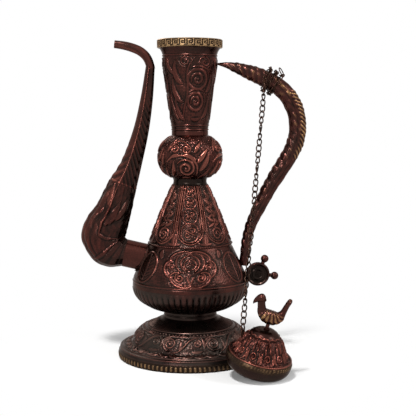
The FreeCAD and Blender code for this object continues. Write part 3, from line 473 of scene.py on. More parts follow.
def chased(p, q, strokes, period=None):
    # height of the strokes over the ground, and the dark line cut round each of them
    shape = p.shape
    p = p.ravel()
    q = q.ravel()
    height = np.zeros(p.size)
    cut = np.zeros(p.size)
    shifts = (0.0,) if period is None else (-period, 0.0, period)
    for points, width, rise, kind in strokes:
        reach = width.max() * stroke["reach"]
        for shift in shifts:
            line = points + (shift, 0)
            low = line.min(axis=0) - reach
            high = line.max(axis=0) + reach
            near = np.where((p > low[0]) & (p < high[0]) & (q > low[1]) & (q < high[1]))[0]
            if not near.size:
                continue
            start = line[:-1]
            step = line[1:] - start
            offset = np.stack([p[near], q[near]], axis=1)[:, None, :] - start
            along = np.clip((offset * step).sum(axis=2) / (step * step).sum(axis=1), 0, 1)
            away = np.linalg.norm(offset - along[..., None] * step, axis=2)
            share = (away / (width[:-1] + along * np.diff(width))).min(axis=1)
            if kind == "leaf":
                vein = stroke["veinDepth"] * np.exp(-(share / stroke["veinWidth"]) ** 2) * (share < 1)
                form = np.clip(1 - share ** 2, 0, None) - vein
            else:
                form = bump(share)
            height[near] = np.maximum(height[near], rise * form)
            cut[near] = np.maximum(cut[near], bump((share - stroke["cutAt"]) / stroke["cutWidth"]))
    return height.reshape(shape), cut.reshape(shape)


def repeated(spec, theta, along, strokes):
    # strokes set round the wall as often as the piece has them
    p = fold(theta, spec["repeats"], math.radians(spec.get("turn", 0))) * spec["reference"]
    return chased(p, along, strokes, tau / spec["repeats"] * spec["reference"])


def humps(place, rows):
    # the highest of several humps, from rows of place, half width and rise
    return np.max([rise * bump((place - at) / half) for at, half, rise in rows], axis=0)


def lined(spec, height, cut, place):
    # raised lines all round, each with a cut on both sides
    half, rise, cutAt, cutHalf = spec["lineForm"]
    for line in spec["lines"]:
        height = np.maximum(height, rise * bump((place - line) / half))
        cut = np.maximum(cut, bump((np.abs(place - line) - cutAt) / cutHalf))
    return height, cut


patina = {"clear": 0.35, "crest": 0.4, "crestRange": (-0.5, 1.2), "cutShade": 0.3, "cutDepth": 0.3}
wormForm = {"bend": (1.7, 0.7, 1.0), "counterBend": (1.9, 0.6, 2.0),  # swing, rate and shift
            "half": 0.75, "clear": 0.25, "light": 0.2, "shade": 0.1}


def toned(spec, height, cut):
    # the ground goes down and dark beside a stroke, and the strokes' crests are worn bright
    cut = cut * np.clip(1 - height / patina["clear"], 0, 1)
    crest = patina["crest"] * spec["gain"] * np.clip(height, *patina["crestRange"])
    tone = spec["ground"] + crest - patina["cutShade"] * cut
    return height - spec.get("cutDepth", patina["cutDepth"]) * cut, tone


def grounded(spec, height, tone, theta, along, free):
    # winding lines where no stroke stands: two waves, each bent by the other; whole counts close round the wall
    count, pitch, rise = spec["worms"]
    b = tau * along / pitch
    swing, rate, shift = wormForm["bend"]
    wave = np.cos(count * theta + swing * np.cos(rate * b + shift))
    swing, rate, shift = wormForm["counterBend"]
    wave = wave + np.cos(b + swing * np.cos(round(count * rate) * theta + shift))
    worm = bump(wave / wormForm["half"])
    free = free * np.clip(1 - height / wormForm["clear"], 0, 1)
    return height + rise * worm * free, tone + (wormForm["light"] * worm - wormForm["shade"]) * free


# Neck: an S-shaped stem with ringed scrolls to the right, and long leaves on both sides

neckSpec = {"name": "chasedNeck", "node": "neck", "around": 400, "step": 0.45, "look": "agedBrass",
            "repeats": 3, "reference": 25.0, "foot": 246.0, "strokeSpan": (244.0, 246.0, 311.0, 312.5),
            "lines": (238.2, 242.6, 313.6), "lineForm": (0.9, 0.55, 1.2, 0.6),
            "ground": 0.47, "gain": 0.42, "worms": (30, 6.0, 0.14), "paintedShadeSpan": (314, 318), "paintedShadeBy": 0.16}


def neckStrokes():
    # the stem, two ringed scrolls, two small ones at the top, then lines and leaves
    strokes = [ridge(bend((-6, -2), (-16, 20), (14, 24), (-14, 44), (4, 64), count=30), 1.0)]
    for place, radius in (((8, 43), 10.0), ((6.5, 20.5), 8.6)):
        strokes.append(ridge(spiral(place, radius, radius, 0, 1, 48), 1.2, 0.8, 1.0))
        strokes += scroll(place, radius * 0.68, radius * 0.2, 205, -1.2, 30, 1.1, 0.7, 1.5)
    strokes += scroll((15, 60), 6.5, 1.3, 215, -1.4, 30) + scroll((-4, 61), 6.0, 1.3, -30, 1.4, 30)
    strokes += ridges((0.9, 0.7, (-1, 30), (8, 36), (17, 30)), (0.8, 0.7, (3, 55), (9, 58), (20, 52)))
    return strokes + leaves(
        (2.6, 0.8, (-6, 2), (-18, 6), (-17, 26)), (2.8, 0.8, (-7, 20), (-22, 24), (-18, 46)),
        (2.6, 0.8, (-6, 38), (-20, 44), (-13, 64)), (2.0, 0.8, (-14, 2), (-24, 10), (-24, 28)),
        (2.0, 0.8, (18, 30), (25, 34), (23, 48)), (2.2, 0.8, (15, 4), (24, 8), (23, 26)),
        (1.7, 0.8, (1, 4), (7, 0), (14, 5)), (1.8, 0.8, (-16, 48), (-25, 54), (-23, 65)))


def neckCarve(theta, radius, level, run):
    # strokes between the lines, winding ground, and painted shade darkening the top under the mouth
    spec = neckSpec
    height, cut = repeated(spec, theta, level - spec["foot"], neckStrokes())
    inside = span(level, *spec["strokeSpan"])
    height, tone = toned(spec, *lined(spec, height * inside, cut * inside, level))
    height, tone = grounded(spec, height, tone, theta, level, inside)
    return height, tone - spec["paintedShadeBy"] * ease(level, *spec["paintedShadeSpan"])


turnedPiece(neckSpec, neckCarve)
print("neck done")

# Knop: pairs of volutes over a large swirl, with slanting leaves between

knopSpec = {"name": "chasedKnop", "node": "knop", "around": 440, "step": 0.45, "look": "rubbedBrass",
            "repeats": 4, "reference": 33.0, "turn": -4, "volutes": 0.68, "endFade": (1.0, 4.0),
            "relief": 1.25, "ground": 0.45, "gain": 0.95, "worms": (44, 4.8, 0.4)}


def knopStrokes(high):
    # high is the volutes' place along the wall; the swirl stays near its foot
    strokes = scroll((-13.5, high), 5.2, 1.4, 60, 1.5, 32, 1.1, 0.9, 1.3)
    strokes += scroll((-1.5, high - 1), 5.2, 1.4, 120, -1.5, 32, 1.1, 0.9, 1.3)
    strokes += scroll((-2, 17), 10.5, 1.8, 150, -1.8, 50, 1.3, 0.9, 1.7)
    strokes += ridges((1.0, 0.9, (-18, high + 1), (-14, high + 11), (-4, high + 11), (3, high)),
                      (1.2, 0.8, (-24, 24), (-16, 34), (6, 36), (14, 22), (10, 8)))
    return strokes + leaves(
        (1.9, 1.0, (-8, high - 8), (-14, high - 6), (-20, high - 11)),
        (1.9, 1.0, (-6, high - 8), (2, high - 6), (9, high - 13)),
        (2.0, 1.0, (7, high - 5), (10, high + 2), (16, high + 8)),
        (2.2, 1.0, (10, high - 15), (16, high - 9), (21, high)),
        (1.8, 0.9, (-23, high - 4), (-20, high + 5), (-13, high + 12)),
        (2.6, 0.9, (13, 14), (20, 22), (23, 34)), (2.4, 0.9, (-22, 8), (-16, 14), (-15, 26)),
        (2.2, 0.8, (14, 3), (22, 6), (25, 18)), (1.8, 0.7, (-12, 2), (-4, 5), (6, 2)))


def knopCarve(theta, radius, level, run):
    # strokes and winding ground that die out at both ends of the wall
    spec = knopSpec
    length = run.max()
    height, cut = repeated(spec, theta, run, knopStrokes(length * spec["volutes"]))
    inside = ease(np.minimum(run, length - run), *spec["endFade"])
    height, tone = toned(spec, spec["relief"] * height * inside, cut * inside)
    return grounded(spec, height, tone, theta, run, inside)


turnedPiece(knopSpec, knopCarve)
print("knop done")

# Shoulder cone: eight U-ended panels with double borders, knots and vines in turn

coneSpec = {"name": "chasedShoulder", "node": "shoulder_cone", "around": 416, "step": 0.44,
            "look": "agedBrass", "panels": 8, "borderShare": 0.91, "bend": 136.5, "bendRadius": 37.4,
            # place, half width and rise of the border's lines and cuts, out of a panel's edge
            "borders": ((0.0, 1.0, 1.0), (-2.1, 0.8, 0.8)),
            "borderCuts": ((-1.1, 0.6, 1.0), (1.5, 0.7, 1.0), (-3.4, 0.8, 1.0)),
            "borderMiddle": -1.0, "borderHalf": 1.8, "fillFrom": -2.4, "gapFrom": 1.2,
            "knotFoot": 125.4, "knots": (9.2, 7.6, 6.3, 5.2),
            "vine": (141.0, 174.0, 4.3), "vineReach": 9.2, "vineTop": 180.0, "vineLength": 42.0,
            "ground": 0.42, "gain": 1.05, "worms": (64, 3.4, 0.2),
            "topFade": (180.5, 183.5), "paintedShadeSpan": (176, 184), "paintedShadeBy": 0.1}


def knotStrokes(spec):
    # a chain of rings, each holding an S of two small scrolls; ring size falls with the panel's width
    strokes = []
    level = spec["knotFoot"]
    for radius in spec["knots"]:
        level += radius
        strokes.append(ridge(spiral((0, level), radius, radius, 0, 1, 30), 0.62, 0.75, 1.0))
        for side, angle in ((radius, 180), (-radius, 0)):
            hook = spiral((side * 0.3, level + side * 0.22), radius * 0.36, 0.6, angle, -1.1, 18)
            strokes += [ridge(hook, 0.75, 1.0), boss((side * 0.55, level - side * 0.52), 1.1, 1.0)]
        aside, lift = radius * 0.62, radius * 0.3
        strokes += ridges((0.75, 1.0, (-aside, level + lift), (0, level), (aside, level - lift)))
        level += radius * 0.92
    return strokes


def vineStrokes(spec):
    # a scroll at the foot of a winding stem, with pairs of leaves that lean to each side in turn
    strokes = scroll((0, 132.6), 7.6, 1.6, -90, 1.8, 40, 0.8, 0.9, 1.5)
    strokes.append(ridge(bend((0, 139), (3, 150), (-3, 162), (0, 176), count=24), 0.6))
    for k, level in enumerate(np.arange(*spec["vine"])):
        reach = spec["vineReach"] * (spec["vineTop"] - level) / spec["vineLength"] * (-1) ** k
        strokes += leaves((1.5, 1.0, (0, level), (reach * 0.7, level + 1.0), (reach, level + 5.4)),
                          (1.3, 0.9, (0, level + 2), (-reach * 0.5, level + 1), (-reach, level - 2)))
    return strokes


def spandrelStrokes():
    # a leaf and a stem between two panels, with a small tip on each side
    tip = leaves((1.1, 0.6, (1, 122.5), (4.5, 122.6), (7.5, 124.5)))
    stem = ridges((0.55, 0.5, (0, 136), (0, 150), (0, 178)))
    return leaves((3.4, 0.7, (0, 121.5), (0.3, 127), (0, 133.5))) + stem + tip + mirrored(tip)


def coneCarve(theta, radius, level, run):
    # border is the distance out of a panel's edge: straight sides above the bend, a round end below it
    spec = coneSpec
    half = math.pi / spec["panels"]
    share = half * spec["borderShare"]
    p = fold(theta, spec["panels"]) * radius
    gap = fold(theta, spec["panels"], half) * radius
    foot = np.hypot(p, level - spec["bend"]) - share * spec["bendRadius"]
    border = np.where(level > spec["bend"], np.abs(p) - share * radius, foot)
    height, cut = humps(border, spec["borders"]), humps(border, spec["borderCuts"])
    odd = np.round(theta / (2 * half)) % 2 == 1
    panel = border < spec["fillFrom"]
    fills = [(p, knotStrokes(spec), panel & ~odd), (p, vineStrokes(spec), panel & odd),
             (gap, spandrelStrokes(), border > spec["gapFrom"])]
    for across, strokes, within in fills:
        fill, line = chased(np.where(within, across, farAway), level, strokes)
        height, cut = np.maximum(height, fill), np.maximum(cut, line)
    inside = 1 - ease(level, *spec["topFade"])
    height, tone = toned(spec, height * inside, cut * inside)
    clear = np.abs(border - spec["borderMiddle"]) > spec["borderHalf"]
    height, tone = grounded(spec, height, tone, theta, level, inside * clear)
    # painted shade: the cone is darkened towards its top
    return height, tone - spec["paintedShadeBy"] * ease(level, *spec["paintedShadeSpan"])


turnedPiece(coneSpec, coneCarve)
print("shoulder done")

# Belly: a six-lobed medallion with a lotus at front and back, veined ovals on the four quarters

bellySpec = {"name": "chasedBelly", "node": "belly", "around": 540, "step": 0.5, "look": "agedBrass",
             "centre": 95.0, "halfWidth": 25.0, "halfHeight": 20.0, "swell": 0.075, "facing": 0.8,
             "ovals": (57, 123, -57, -123), "ovalCentre": 94, "ovalHalf": (13.6, 16.6), "ovalFacing": 0.6,
             "veins": 6, "veinFoot": 80, "veinStep": 4.4, "veinReach": 11.5, "veinHalf": 17.0,
             "lift": 99.3, "squeeze": 0.88, "lines": (81.0,), "lineForm": (1.0, 0.6, 1.3, 0.7),
             "relief": 1.15, "ground": 0.42, "gain": 0.75, "worms": (66, 5.0, 0.2),
             "wormSpan": (82, 84, 115, 118)}


def lobedLine(spec, inset):
    # radius swells and falls six times round an oval, with a cusp between lobes
    turn = np.linspace(0, tau, 121)
    lobe = 1 - spec["swell"] + 2 * spec["swell"] * np.sqrt(np.abs(np.cos(3 * turn)))
    across = (spec["halfWidth"] - inset) * lobe * np.cos(turn)
    return np.stack([across, spec["centre"] + (spec["halfHeight"] - inset) * lobe * np.sin(turn)], axis=1)


def medallionStrokes(spec):
    # half a lotus with its scrolls and a corner leaf, mirrored, in a double rim
    half = ridges(
        (1.0, 1.0, (0, 110.4), (-10, 109), (-12.5, 101), (-8, 94.5), (-3.5, 93)),
        (0.8, 0.9, (0, 106.5), (-6.5, 105), (-8, 99), (-4, 94.6)),
        (0.9, 0.9, (-4, 91.5), (-16, 92), (-17, 106), (-9.5, 111)),
        (0.9, 0.9, (-10, 91), (-15.5, 94), (-21, 90), (-20, 85)),
        (0.8, 0.9, (0, 95.0), (-4.5, 95.2), (-5.5, 98.5)), (0.6, 0.8, (0, 101), (-3.4, 100.8), (-5, 98.4)))
    half += scroll((-11, 86), 5.0, 1.2, 80, 1.5, 34, 1.0, 0.95, 1.3, 1.0)
    half += scroll((-18, 98), 3.4, 1.0, -60, -1.4, 26, 0.8, 0.9, 1.0)
    half += leaves((1.2, 0.8, (-3.5, 88), (-2, 83), (0, 79)),
                   (2.0, 0.45, (-29, 106), (-30, 111), (-27, 115.5)))
    rims = [ridge(lobedLine(spec, 0.9), 1.1, 0.8, 1.0), ridge(lobedLine(spec, 3.2), 0.6, 0.55, 1.0)]
    return rims + half + mirrored(half)


def ovalStrokes(spec):
    # veins on both sides of a midrib, each about as long as the oval is wide at its level
    turn = np.linspace(0, tau, 50)
    wide, high = spec["ovalHalf"]
    rim = np.stack([wide * np.cos(turn), spec["ovalCentre"] + high * np.sin(turn)], axis=1)
    strokes = [ridge(rim, 1.0, 0.75, 1.0), ridge(bend((0, 78), (2, 92), (0, 110), count=20), 0.7, 0.5)]
    for k in range(spec["veins"]):
        level = spec["veinFoot"] + spec["veinStep"] * k
        share = (level + 3 - spec["ovalCentre"]) / spec["veinHalf"]
        reach = spec["veinReach"] * math.sqrt(max(1 - share ** 2, 0.05))
        vein = ridges((0.6, 0.35, (0.8, level), (reach * 0.5, level + 2), (reach, level + 6)))
        strokes += vein + mirrored(vein)
    return strokes


def bellyCarve(theta, radius, level, run):
    # figures lie as seen square on: the place across is the radius times the sine of the angle
    spec = bellySpec
    q = spec["centre"] + (level - spec["lift"]) / spec["squeeze"]  # strokes are drawn round their own centre
    figures = [(fold(theta, 2), spec["facing"], medallionStrokes(spec))]
    for angle in spec["ovals"]:
        figures.append((fold(theta, 1, math.radians(angle)), spec["ovalFacing"], ovalStrokes(spec)))
    height, cut = 0 * theta, 0 * theta
    for turn, facing, strokes in figures:
        fill, line = chased(np.where(np.abs(turn) < facing, radius * np.sin(turn), farAway), q, strokes)
        height, cut = np.maximum(height, fill), np.maximum(cut, line)
    height, cut = lined(spec, height, cut, level)
    height, tone = toned(spec, spec["relief"] * height, cut)
    return grounded(spec, height, tone, theta, level, span(level, *spec["wormSpan"]))


turnedPiece(bellySpec, bellyCarve)
print("belly done")

# Bowl: gadroons with round tops under a plain rim

bowlSpec = {"name": "gadroonedBowl", "node": "bowl", "around": 58 * 10, "step": 0.7, "look": "smokedBrass",
            "gadroons": 58, "foot": (50.2, 53.2), "tops": 74.8, "arch": 3.0, "topEase": 1.4,
            "relief": 1.15, "wallShare": 0.62,  # where the plain wall lies between groove and crest
            "ground": 0.4, "crestLight": 0.16, "crestFrom": 0.6, "grooveShade": 0.2, "grooveTo": 0.35,
            "floorLevel": 49.9 * mm, "edge": 0.5, "paintedShadeSpan": (50, 60), "paintedShadeBy": 0.12}


def bowlCarve(theta, radius, level, run):
    # the root of a cosine makes broad crests and sharp grooves; every gadroon ends in an arch
    spec = bowlSpec
    lobe = np.abs(np.cos(theta * spec["gadroons"] / 2))  # 1 on a crest, 0 in a groove
    top = spec["tops"] - spec["arch"] * (1 - lobe) ** 2
    inside = span(level, *spec["foot"], top - spec["topEase"], top)
    shade = spec["crestLight"] * (lobe - spec["crestFrom"]) - spec["grooveShade"] * (lobe < spec["grooveTo"])
    # painted shade: the bowl is darkened towards its bottom, where it turns under
    tone = spec["ground"] + shade * inside - spec["paintedShadeBy"] * (1 - ease(level, *spec["paintedShadeSpan"]))
    return spec["relief"] * (np.sqrt(lobe) - spec["wallShare"]) * inside, tone


turnedPiece(bowlSpec, bowlCarve)
print("bowl done")

# Foot: hatched waist, dotted ridge, acanthus scrolls round the wall, leaf tips and two lines on the flange

footSpec = {"name": "chasedFoot", "node": "foot_dome", "around": 560, "step": 0.55, "look": "smokedBrass",
            "repeats": 8, "reference": 57.0, "turn": -7.25,
            # radii, from the waist out to the flange
            "waistSpan": (30, 34, 44.5, 45.5), "ridge": 48.6, "wallTop": 49.6, "wallEnd": 62.0,
            "leavesEnd": 69.2, "lines": (45.5, 50.8, 70.6, 73.6), "lineForm": (0.8, 0.6, 1.1, 0.6),
            "hatches": 128, "hatchRise": 0.3, "hatchLight": 0.14, "waistShade": 0.12,
            "dots": 84, "dotHalf": (1.1, 1.2), "dotRise": 0.75,
            "relief": 1.1, "ground": 0.42, "gain": 0.9, "worms": (72, 4.6, 0.32)}


def footStrokes(length):
    # rosette to the left and scrolling leaf to the right of each repeat; lengths run from the flange up
    left, right = -14.2, 14.2
    strokes = scroll((left, length * 0.5), 7.6, 1.6, 300, -2.0, 56, 1.05, 0.9, 1.9, 1.0)
    strokes += scroll((right, length * 0.54), 4.4, 1.2, 100, -1.4, 28, 0.9, 0.9)
    strokes += ridges(
        (1.0, 0.9, (left + 3, 0.5), (left + 14, 0), (left + 16, 11), (right - 7, 18.5), (right + 3, 17)))
    strokes += leaves(
        (1.7, 0.9, (left + 9, 18), (left + 14, 21), (left + 20, 17)),
        (1.5, 0.9, (left - 8, 14), (left - 4, 19.5), (left + 4, 19)),
        (1.4, 0.8, (left + 10, 4), (left + 13, 9), (left + 11, 15)),
        (1.6, 0.9, (right - 6, 2), (right, 0.5), (right + 6, 3)),
        (1.6, 0.9, (right + 7, 5), (right + 8, 12), (right + 5, 18)))
    for start, way in ((left - 6, 1), (left + 6, 1), (right - 8, -1), (right + 4, -1)):  # curled tips below
        strokes += leaves((1.7, 0.9, (start, -0.5), (start + 2 * way, -7), (start + 8 * way, -5)))
        strokes += ridges((0.9, 0.8, (start - 4 * way, -1), (start - 2 * way, -6), (start + 3 * way, -7)))
    return strokes


def footCarve(theta, radius, level, run):
    # strokes on wall and flange, hatches on the waist, a row of dots and plain lines, each in its own radii
    spec = footSpec
    wall = (radius > spec["wallTop"]) & (radius < spec["leavesEnd"])
    start = run[radius > spec["wallEnd"]].max()
    length = run[radius > spec["wallTop"]].max() - start
    height, cut = repeated(spec, theta, run - start, footStrokes(length))
    hatch = 0.5 + 0.5 * np.cos(theta * spec["hatches"])
    waist = span(radius, *spec["waistSpan"])
    across, along = spec["dotHalf"]
    dots = bump(fold(theta, spec["dots"]) * spec["ridge"] / across) * bump((radius - spec["ridge"]) / along)
    height = np.maximum(height * wall + spec["hatchRise"] * hatch ** 2 * waist, spec["dotRise"] * dots)
    height, cut = lined(spec, height, cut * wall, radius)
    height, tone = toned(spec, spec["relief"] * height, cut)
    height, tone = grounded(spec, height, tone, theta, run, wall)
    return height, tone + (spec["hatchLight"] * hatch - spec["waistShade"]) * waist


turnedPiece(footSpec, footCarve)
print("foot done")

# Bands: dentils round the foot and a key pattern round the mouth

footBandSpec = {"name": "dentilBand", "node": "foot_band", "around": 98 * 8, "step": 0.42,
                "look": "brightBrass", "dentils": 98, "low": 0.9, "high": 6.3, "edge": 0.4}


def footBandCarve(theta, radius, level, run):
    # blocks between two rims, with the ground between them sunk
    spec = footBandSpec
    low, high = spec["low"], spec["high"]
    side = np.abs(fold(theta, spec["dentils"])) / (math.pi / spec["dentils"])
    block = (1 - ease(side, 0.34, 0.66)) * span(level, low, low + 0.8, high - 0.8, high)
    rims = np.maximum(1 - ease(level, 0.3, 0.9), ease(level, high + 0.1, high + 0.7))
    return 0.6 * np.maximum(block, rims) - 0.5, 0.1 + 0.58 * block + 0.16 * rims


turnedPiece(footBandSpec, footBandCarve)

mouthSpec = {"name": "keyBand", "node": "mouth_band", "around": 27 * 24, "step": 0.34, "look": "brightBrass",
             "keys": 27, "low": 322.6, "high": 329.0, "edge": 0.4}
keyLines = [  # corners of one key, as shares of its width and height
    [(-0.5, 0.06), (-0.34, 0.06), (-0.34, 0.94), (0.34, 0.94), (0.34, 0.3), (-0.02, 0.3), (-0.02, 0.62),
     (0.14, 0.62)],
    [(0.34, 0.06), (0.5, 0.06)],
]


def mouthCarve(theta, radius, level, run):
    # grooves along upright and level lines: the distance to a line is the larger of its two overshoots
    spec = mouthSpec
    u = fold(theta, spec["keys"]) / (tau / spec["keys"])
    v = (level - spec["low"]) / (spec["high"] - spec["low"])
    away = np.full(u.shape, farAway)
    for corners in keyLines:
        for (u0, v0), (u1, v1) in zip(corners, corners[1:]):
            aside = np.maximum(min(u0, u1) - u, u - max(u0, u1))
            above = np.maximum(min(v0, v1) - v, v - max(v0, v1))
            away = np.minimum(away, np.clip(np.maximum(aside, above), 0, None))
    groove = (1 - ease(away, 0.055, 0.1)) * (v > -0.06) * (v < 1.06)
    return -0.45 * groove, 0.9 - 0.84 * groove


turnedPiece(mouthSpec, mouthCarve)
print("bands done")

# Belt: a corded line between two edges; stem and collar stay plain

beltSpec = {"name": "cordedBelt", "node": "belt_band", "around": 600, "step": 0.22, "look": "agedBrass",
            "cords": 120, "edge": 0.2}


def beltCarve(theta, radius, level, run):
    # a slanting cosine along the middle, with a cut on each side of it
    share = run / run.max()
    middle = bump((share - 0.5) / 0.28)
    cord = np.cos(theta * beltSpec["cords"] + 5 * share) * middle
    edges = np.maximum(bump((share - 0.2) / 0.1), bump((share - 0.8) / 0.1))
    return 0.25 * cord - 0.25 * edges, 0.5 + 0.25 * cord - 0.3 * (np.abs(share - 0.5) > 0.28)


turnedPiece(beltSpec, beltCarve)

plainRings = [
    {"name": "stemTube", "node": "stem_tube", "around": 160, "step": 0.3, "look": "smokedBrass", "tone": 0.3},
    {"name": "neckCollar", "node": "neck_collar", "around": 160, "step": 0.3, "look": "agedBrass", "tone": 0.1},
]
for spec in plainRings:
    turnedPiece(spec, evenTone(spec["tone"]))
print("rings done")

# Swept pieces: sections along a bent line, each point raised along the surface's own normal

endRows = 3.0  # rows over which the carving dies out at both ends
liningTone = 0.2


def smoothRows(rows, count):
    # a smooth curve through every row, with the ends held
    rows = np.asarray(rows, float)
    held = np.vstack([rows[0], rows, rows[-1]])
    t = np.linspace(0, len(rows) - 1, count)
    k = np.minimum(t.astype(int), len(rows) - 2)
    f = (t - k)[:, None]
    a, b, c, d = held[k], held[k + 1], held[k + 2], held[k + 3]
    return (2 * b + (c - a) * f + (2 * a - 5 * b + 4 * c - d) * f ** 2 + (3 * b - a - 3 * c + d) * f ** 3) / 2


def surfaceNormals(points):
    # square to the steps round and along the grid
    across = np.roll(points, -1, axis=0) - np.roll(points, 1, axis=0)
    along = np.gradient(points, axis=1)
    out = np.cross(across, along)
    return out / np.maximum(np.linalg.norm(out, axis=2, keepdims=True), 1e-12)


def roundLine(count, way=1):
    # a circle's angles and points, turned either way
    turn = turns(count)
    return turn, np.stack([np.cos(turn), way * np.sin(turn)], axis=1)


def sections(centre, across, halfWidth, halfDepth, outline, front=(0, -1.0, 0)):
    # the outline's two shares, across and to the front, at each place along the line
    side = outline[:, 0][:, None, None] * (halfWidth[:, None] * across)[None]
    face = outline[:, 1][:, None, None] * (halfDepth[:, None] * np.array(front))[None]
    return (centre[None] + side + face) * mm


def sweptPiece(spec, skin, height, tone, lining=None, body="ewer"):
    # a carved skin with a plain lining, or with both ends drawn in to a point
    ends = np.arange(skin.shape[1])
    fade = np.clip(np.minimum(ends, ends[::-1]) / endRows, 0, 1)
    points = skin + surfaceNormals(skin) * (height * fade * mm)[..., None]
    if lining is None:
        points = capped(points)
        tone = np.concatenate([tone[:, :1], tone, tone[:, -1:]], axis=1)
    else:
        points = np.concatenate([points, lining[:, ::-1]], axis=1)
        tone = np.concatenate([tone, np.full(lining.shape[:2], liningTone)], axis=1)
    gridPiece(spec, points, tone, lining is not None, body)


def acrossLine(places, side=(0, -1.0, 0)):
    # the direction across a line, square to it and to the side that faces the viewer
    step = np.gradient(places, axis=0)
    return np.cross(side, step / np.linalg.norm(step, axis=1)[:, None])


# Spout: an eight-sided boot with leaves on worked ground, a fluted tube and a round bent nozzle

spoutFrame = {"stubEnd": 65.18, "reach": 115.0, "level": 108.5, "rise": 217.0, "wall": 1.3, "liningRows": 24}
facetShares = [(1.0, 0.0), (0.74, 0.6), (0.25, 1.0), (-0.68, 0.66), (-1.0, 0.0), (-0.68, -0.66), (0.25, -1.0),
               (0.74, -0.6)]
bootRows = [  # inner edge across and up, outer edge across and up, depth, all as shares
    (0.0, 0.067, 0.132, -0.063, 1.0), (0.032, 0.073, 0.416, -0.068, 0.86), (0.046, 0.076, 0.697, -0.042, 0.77),
    (0.048, 0.081, 0.915, 0.024, 0.74), (0.039, 0.088, 0.991, 0.098, 0.7), (0.002, 0.118, 0.866, 0.176, 0.71),
    (-0.042, 0.161, 0.672, 0.236, 0.77), (-0.182, 0.307, 0.374, 0.361, 0.87)]
tubeRows = [bootRows[-1], (-0.3, 0.423, 0.118, 0.454, 0.91), (-0.453, 0.586, -0.129, 0.602, 0.94),
            (-0.543, 0.742, -0.286, 0.752, 0.96), (-0.587, 0.898, -0.395, 0.896, 0.98)]
nozzleRows = [(-0.497, 0.886), (-0.491, 0.897), (-0.448, 0.926), (-0.376, 0.95), (-0.254, 0.971),
              (-0.085, 0.986), (0.079, 0.995), (0.245, 1.0)]
bootSpec = {"name": "leafedBoot", "node": "spout_boot", "look": "agedBrass", "around": 192, "along": 230,
            "rows": bootRows, "halfPlain": 16, "plainLength": 80, "worked": (10, 22),
            "joints": ((3.2, 1.4, 1.0), (9.5, 1.6, 1.0)), "jointDepth": 0.15, "jointShade": 0.18,
            "relief": 0.95, "ground": 0.37, "gain": 0.8, "cutDepth": 0.22}
tubeSpec = {"name": "flutedTube", "node": "spout_tube", "look": "agedBrass", "around": 128, "along": 330,
            "rows": tubeRows, "ridge": 0.25, "flute": 6.6, "slant": 1.5, "fluteEnd": (67.0, 112.0)}
nozzleSpec = {"name": "bentNozzle", "node": "spout_nozzle", "look": "agedBrass", "around": 72, "along": 120,
              "radii": (4.7, 4.1), "strands": 4, "twist": 9.0}


def spoutPlace(across, up):
    # millimetres from shares of the spout's reach and rise
    low = spoutFrame["stubEnd"]
    x = -low - (spoutFrame["reach"] - low) * across
    return np.stack([x, 0 * x, spoutFrame["level"] + spoutFrame["rise"] * up], axis=-1)


def facetLine(count):
    # the eight-sided section, its corners eased a little
    corners = np.array(facetShares + facetShares[:1])
    line = spaced(corners, count + 1)[:-1]
    for _ in range(3):
        line = (np.roll(line, 1, axis=0) + 2 * line + np.roll(line, -1, axis=0)) / 4
    return line


def spoutSkin(spec):
    # skin, a thinner lining of few sections, and three grids: share across, run along and half width
    rows = smoothRows(spec["rows"], spec["along"])
    inner, outer = spoutPlace(rows[:, 0], rows[:, 1]), spoutPlace(rows[:, 2], rows[:, 3])
    centre = (inner + outer) / 2
    half = np.linalg.norm(outer - inner, axis=1) / 2
    across = (outer - inner) / (2 * half)[:, None]
    depth = half * rows[:, 4]
    outline = facetLine(spec["around"])
    few = np.linspace(0, spec["along"] - 1, spoutFrame["liningRows"]).astype(int)
    thin, shallow = half[few] - spoutFrame["wall"], depth[few] - spoutFrame["wall"]
    lining = sections(centre[few], across[few], thin, shallow, outline)
    share, run = np.meshgrid(outline[:, 0], lengths(centre), indexing="ij")
    skin = sections(centre, across, half, depth, outline)
    return skin, lining, share, run, np.broadcast_to(half, share.shape)


def bootCarve(share, run, half):
    # strokes on a plain that fans out round the heel, over streaks and mottled ground
    spec = bootSpec
    p = share * spec["halfPlain"]
    q = run / run.max() * spec["plainLength"]
    height, cut = chased(p, q, ridges(
        (0.9, 0.8, (4, 82), (4, 60), (4.5, 40), (2, 30)), (1.9, 0.5, (8, 78), (12, 66), (12.5, 44), (11, 18)),
        (1.2, 0.5, (14.5, 60), (15, 44), (14, 14)), (1.2, 0.6, (2, 32), (-2, 27), (-8, 25), (-14, 27)),
        (1.0, 0.5, (14, 16), (8, 14), (-2, 17), (-12, 20))) + leaves(
        (2.4, 0.9, (5, 58), (8, 66), (8, 80)), (2.2, 0.7, (9, 48), (12, 58), (12, 72)),
        (2.6, 0.6, (1, 40), (-3, 50), (-4, 68)), (2.2, 0.6, (-5, 48), (-9, 58), (-11, 74))))
    joint = humps(q, spec["joints"])
    height, tone = toned(spec, spec["relief"] * height - spec["jointDepth"] * joint, cut)
    streak = np.cos(tau * (p + 1.6 * np.cos(q / 5.0) + 0.8 * np.cos(q / 2.3 + p / 2.0)) / 3.6)
    mottle = np.cos(0.9 * p + 1.3 * np.sin(q / 3.7)) * np.cos(q / 2.9 + 1.1 * np.sin(p / 2.0))
    worked = ease(q, *spec["worked"])  # the ground near the stub is plain
    tone = tone + 0.08 * cut + (0.05 * streak + 0.07 * mottle) * worked
    # painted shade: the side of the boot towards the body is darkened
    tone = tone - spec["jointShade"] * joint - 0.14 * ease(-share, -0.2, 0.9)
    return height + (0.16 * streak + 0.24 * mottle) * worked, tone


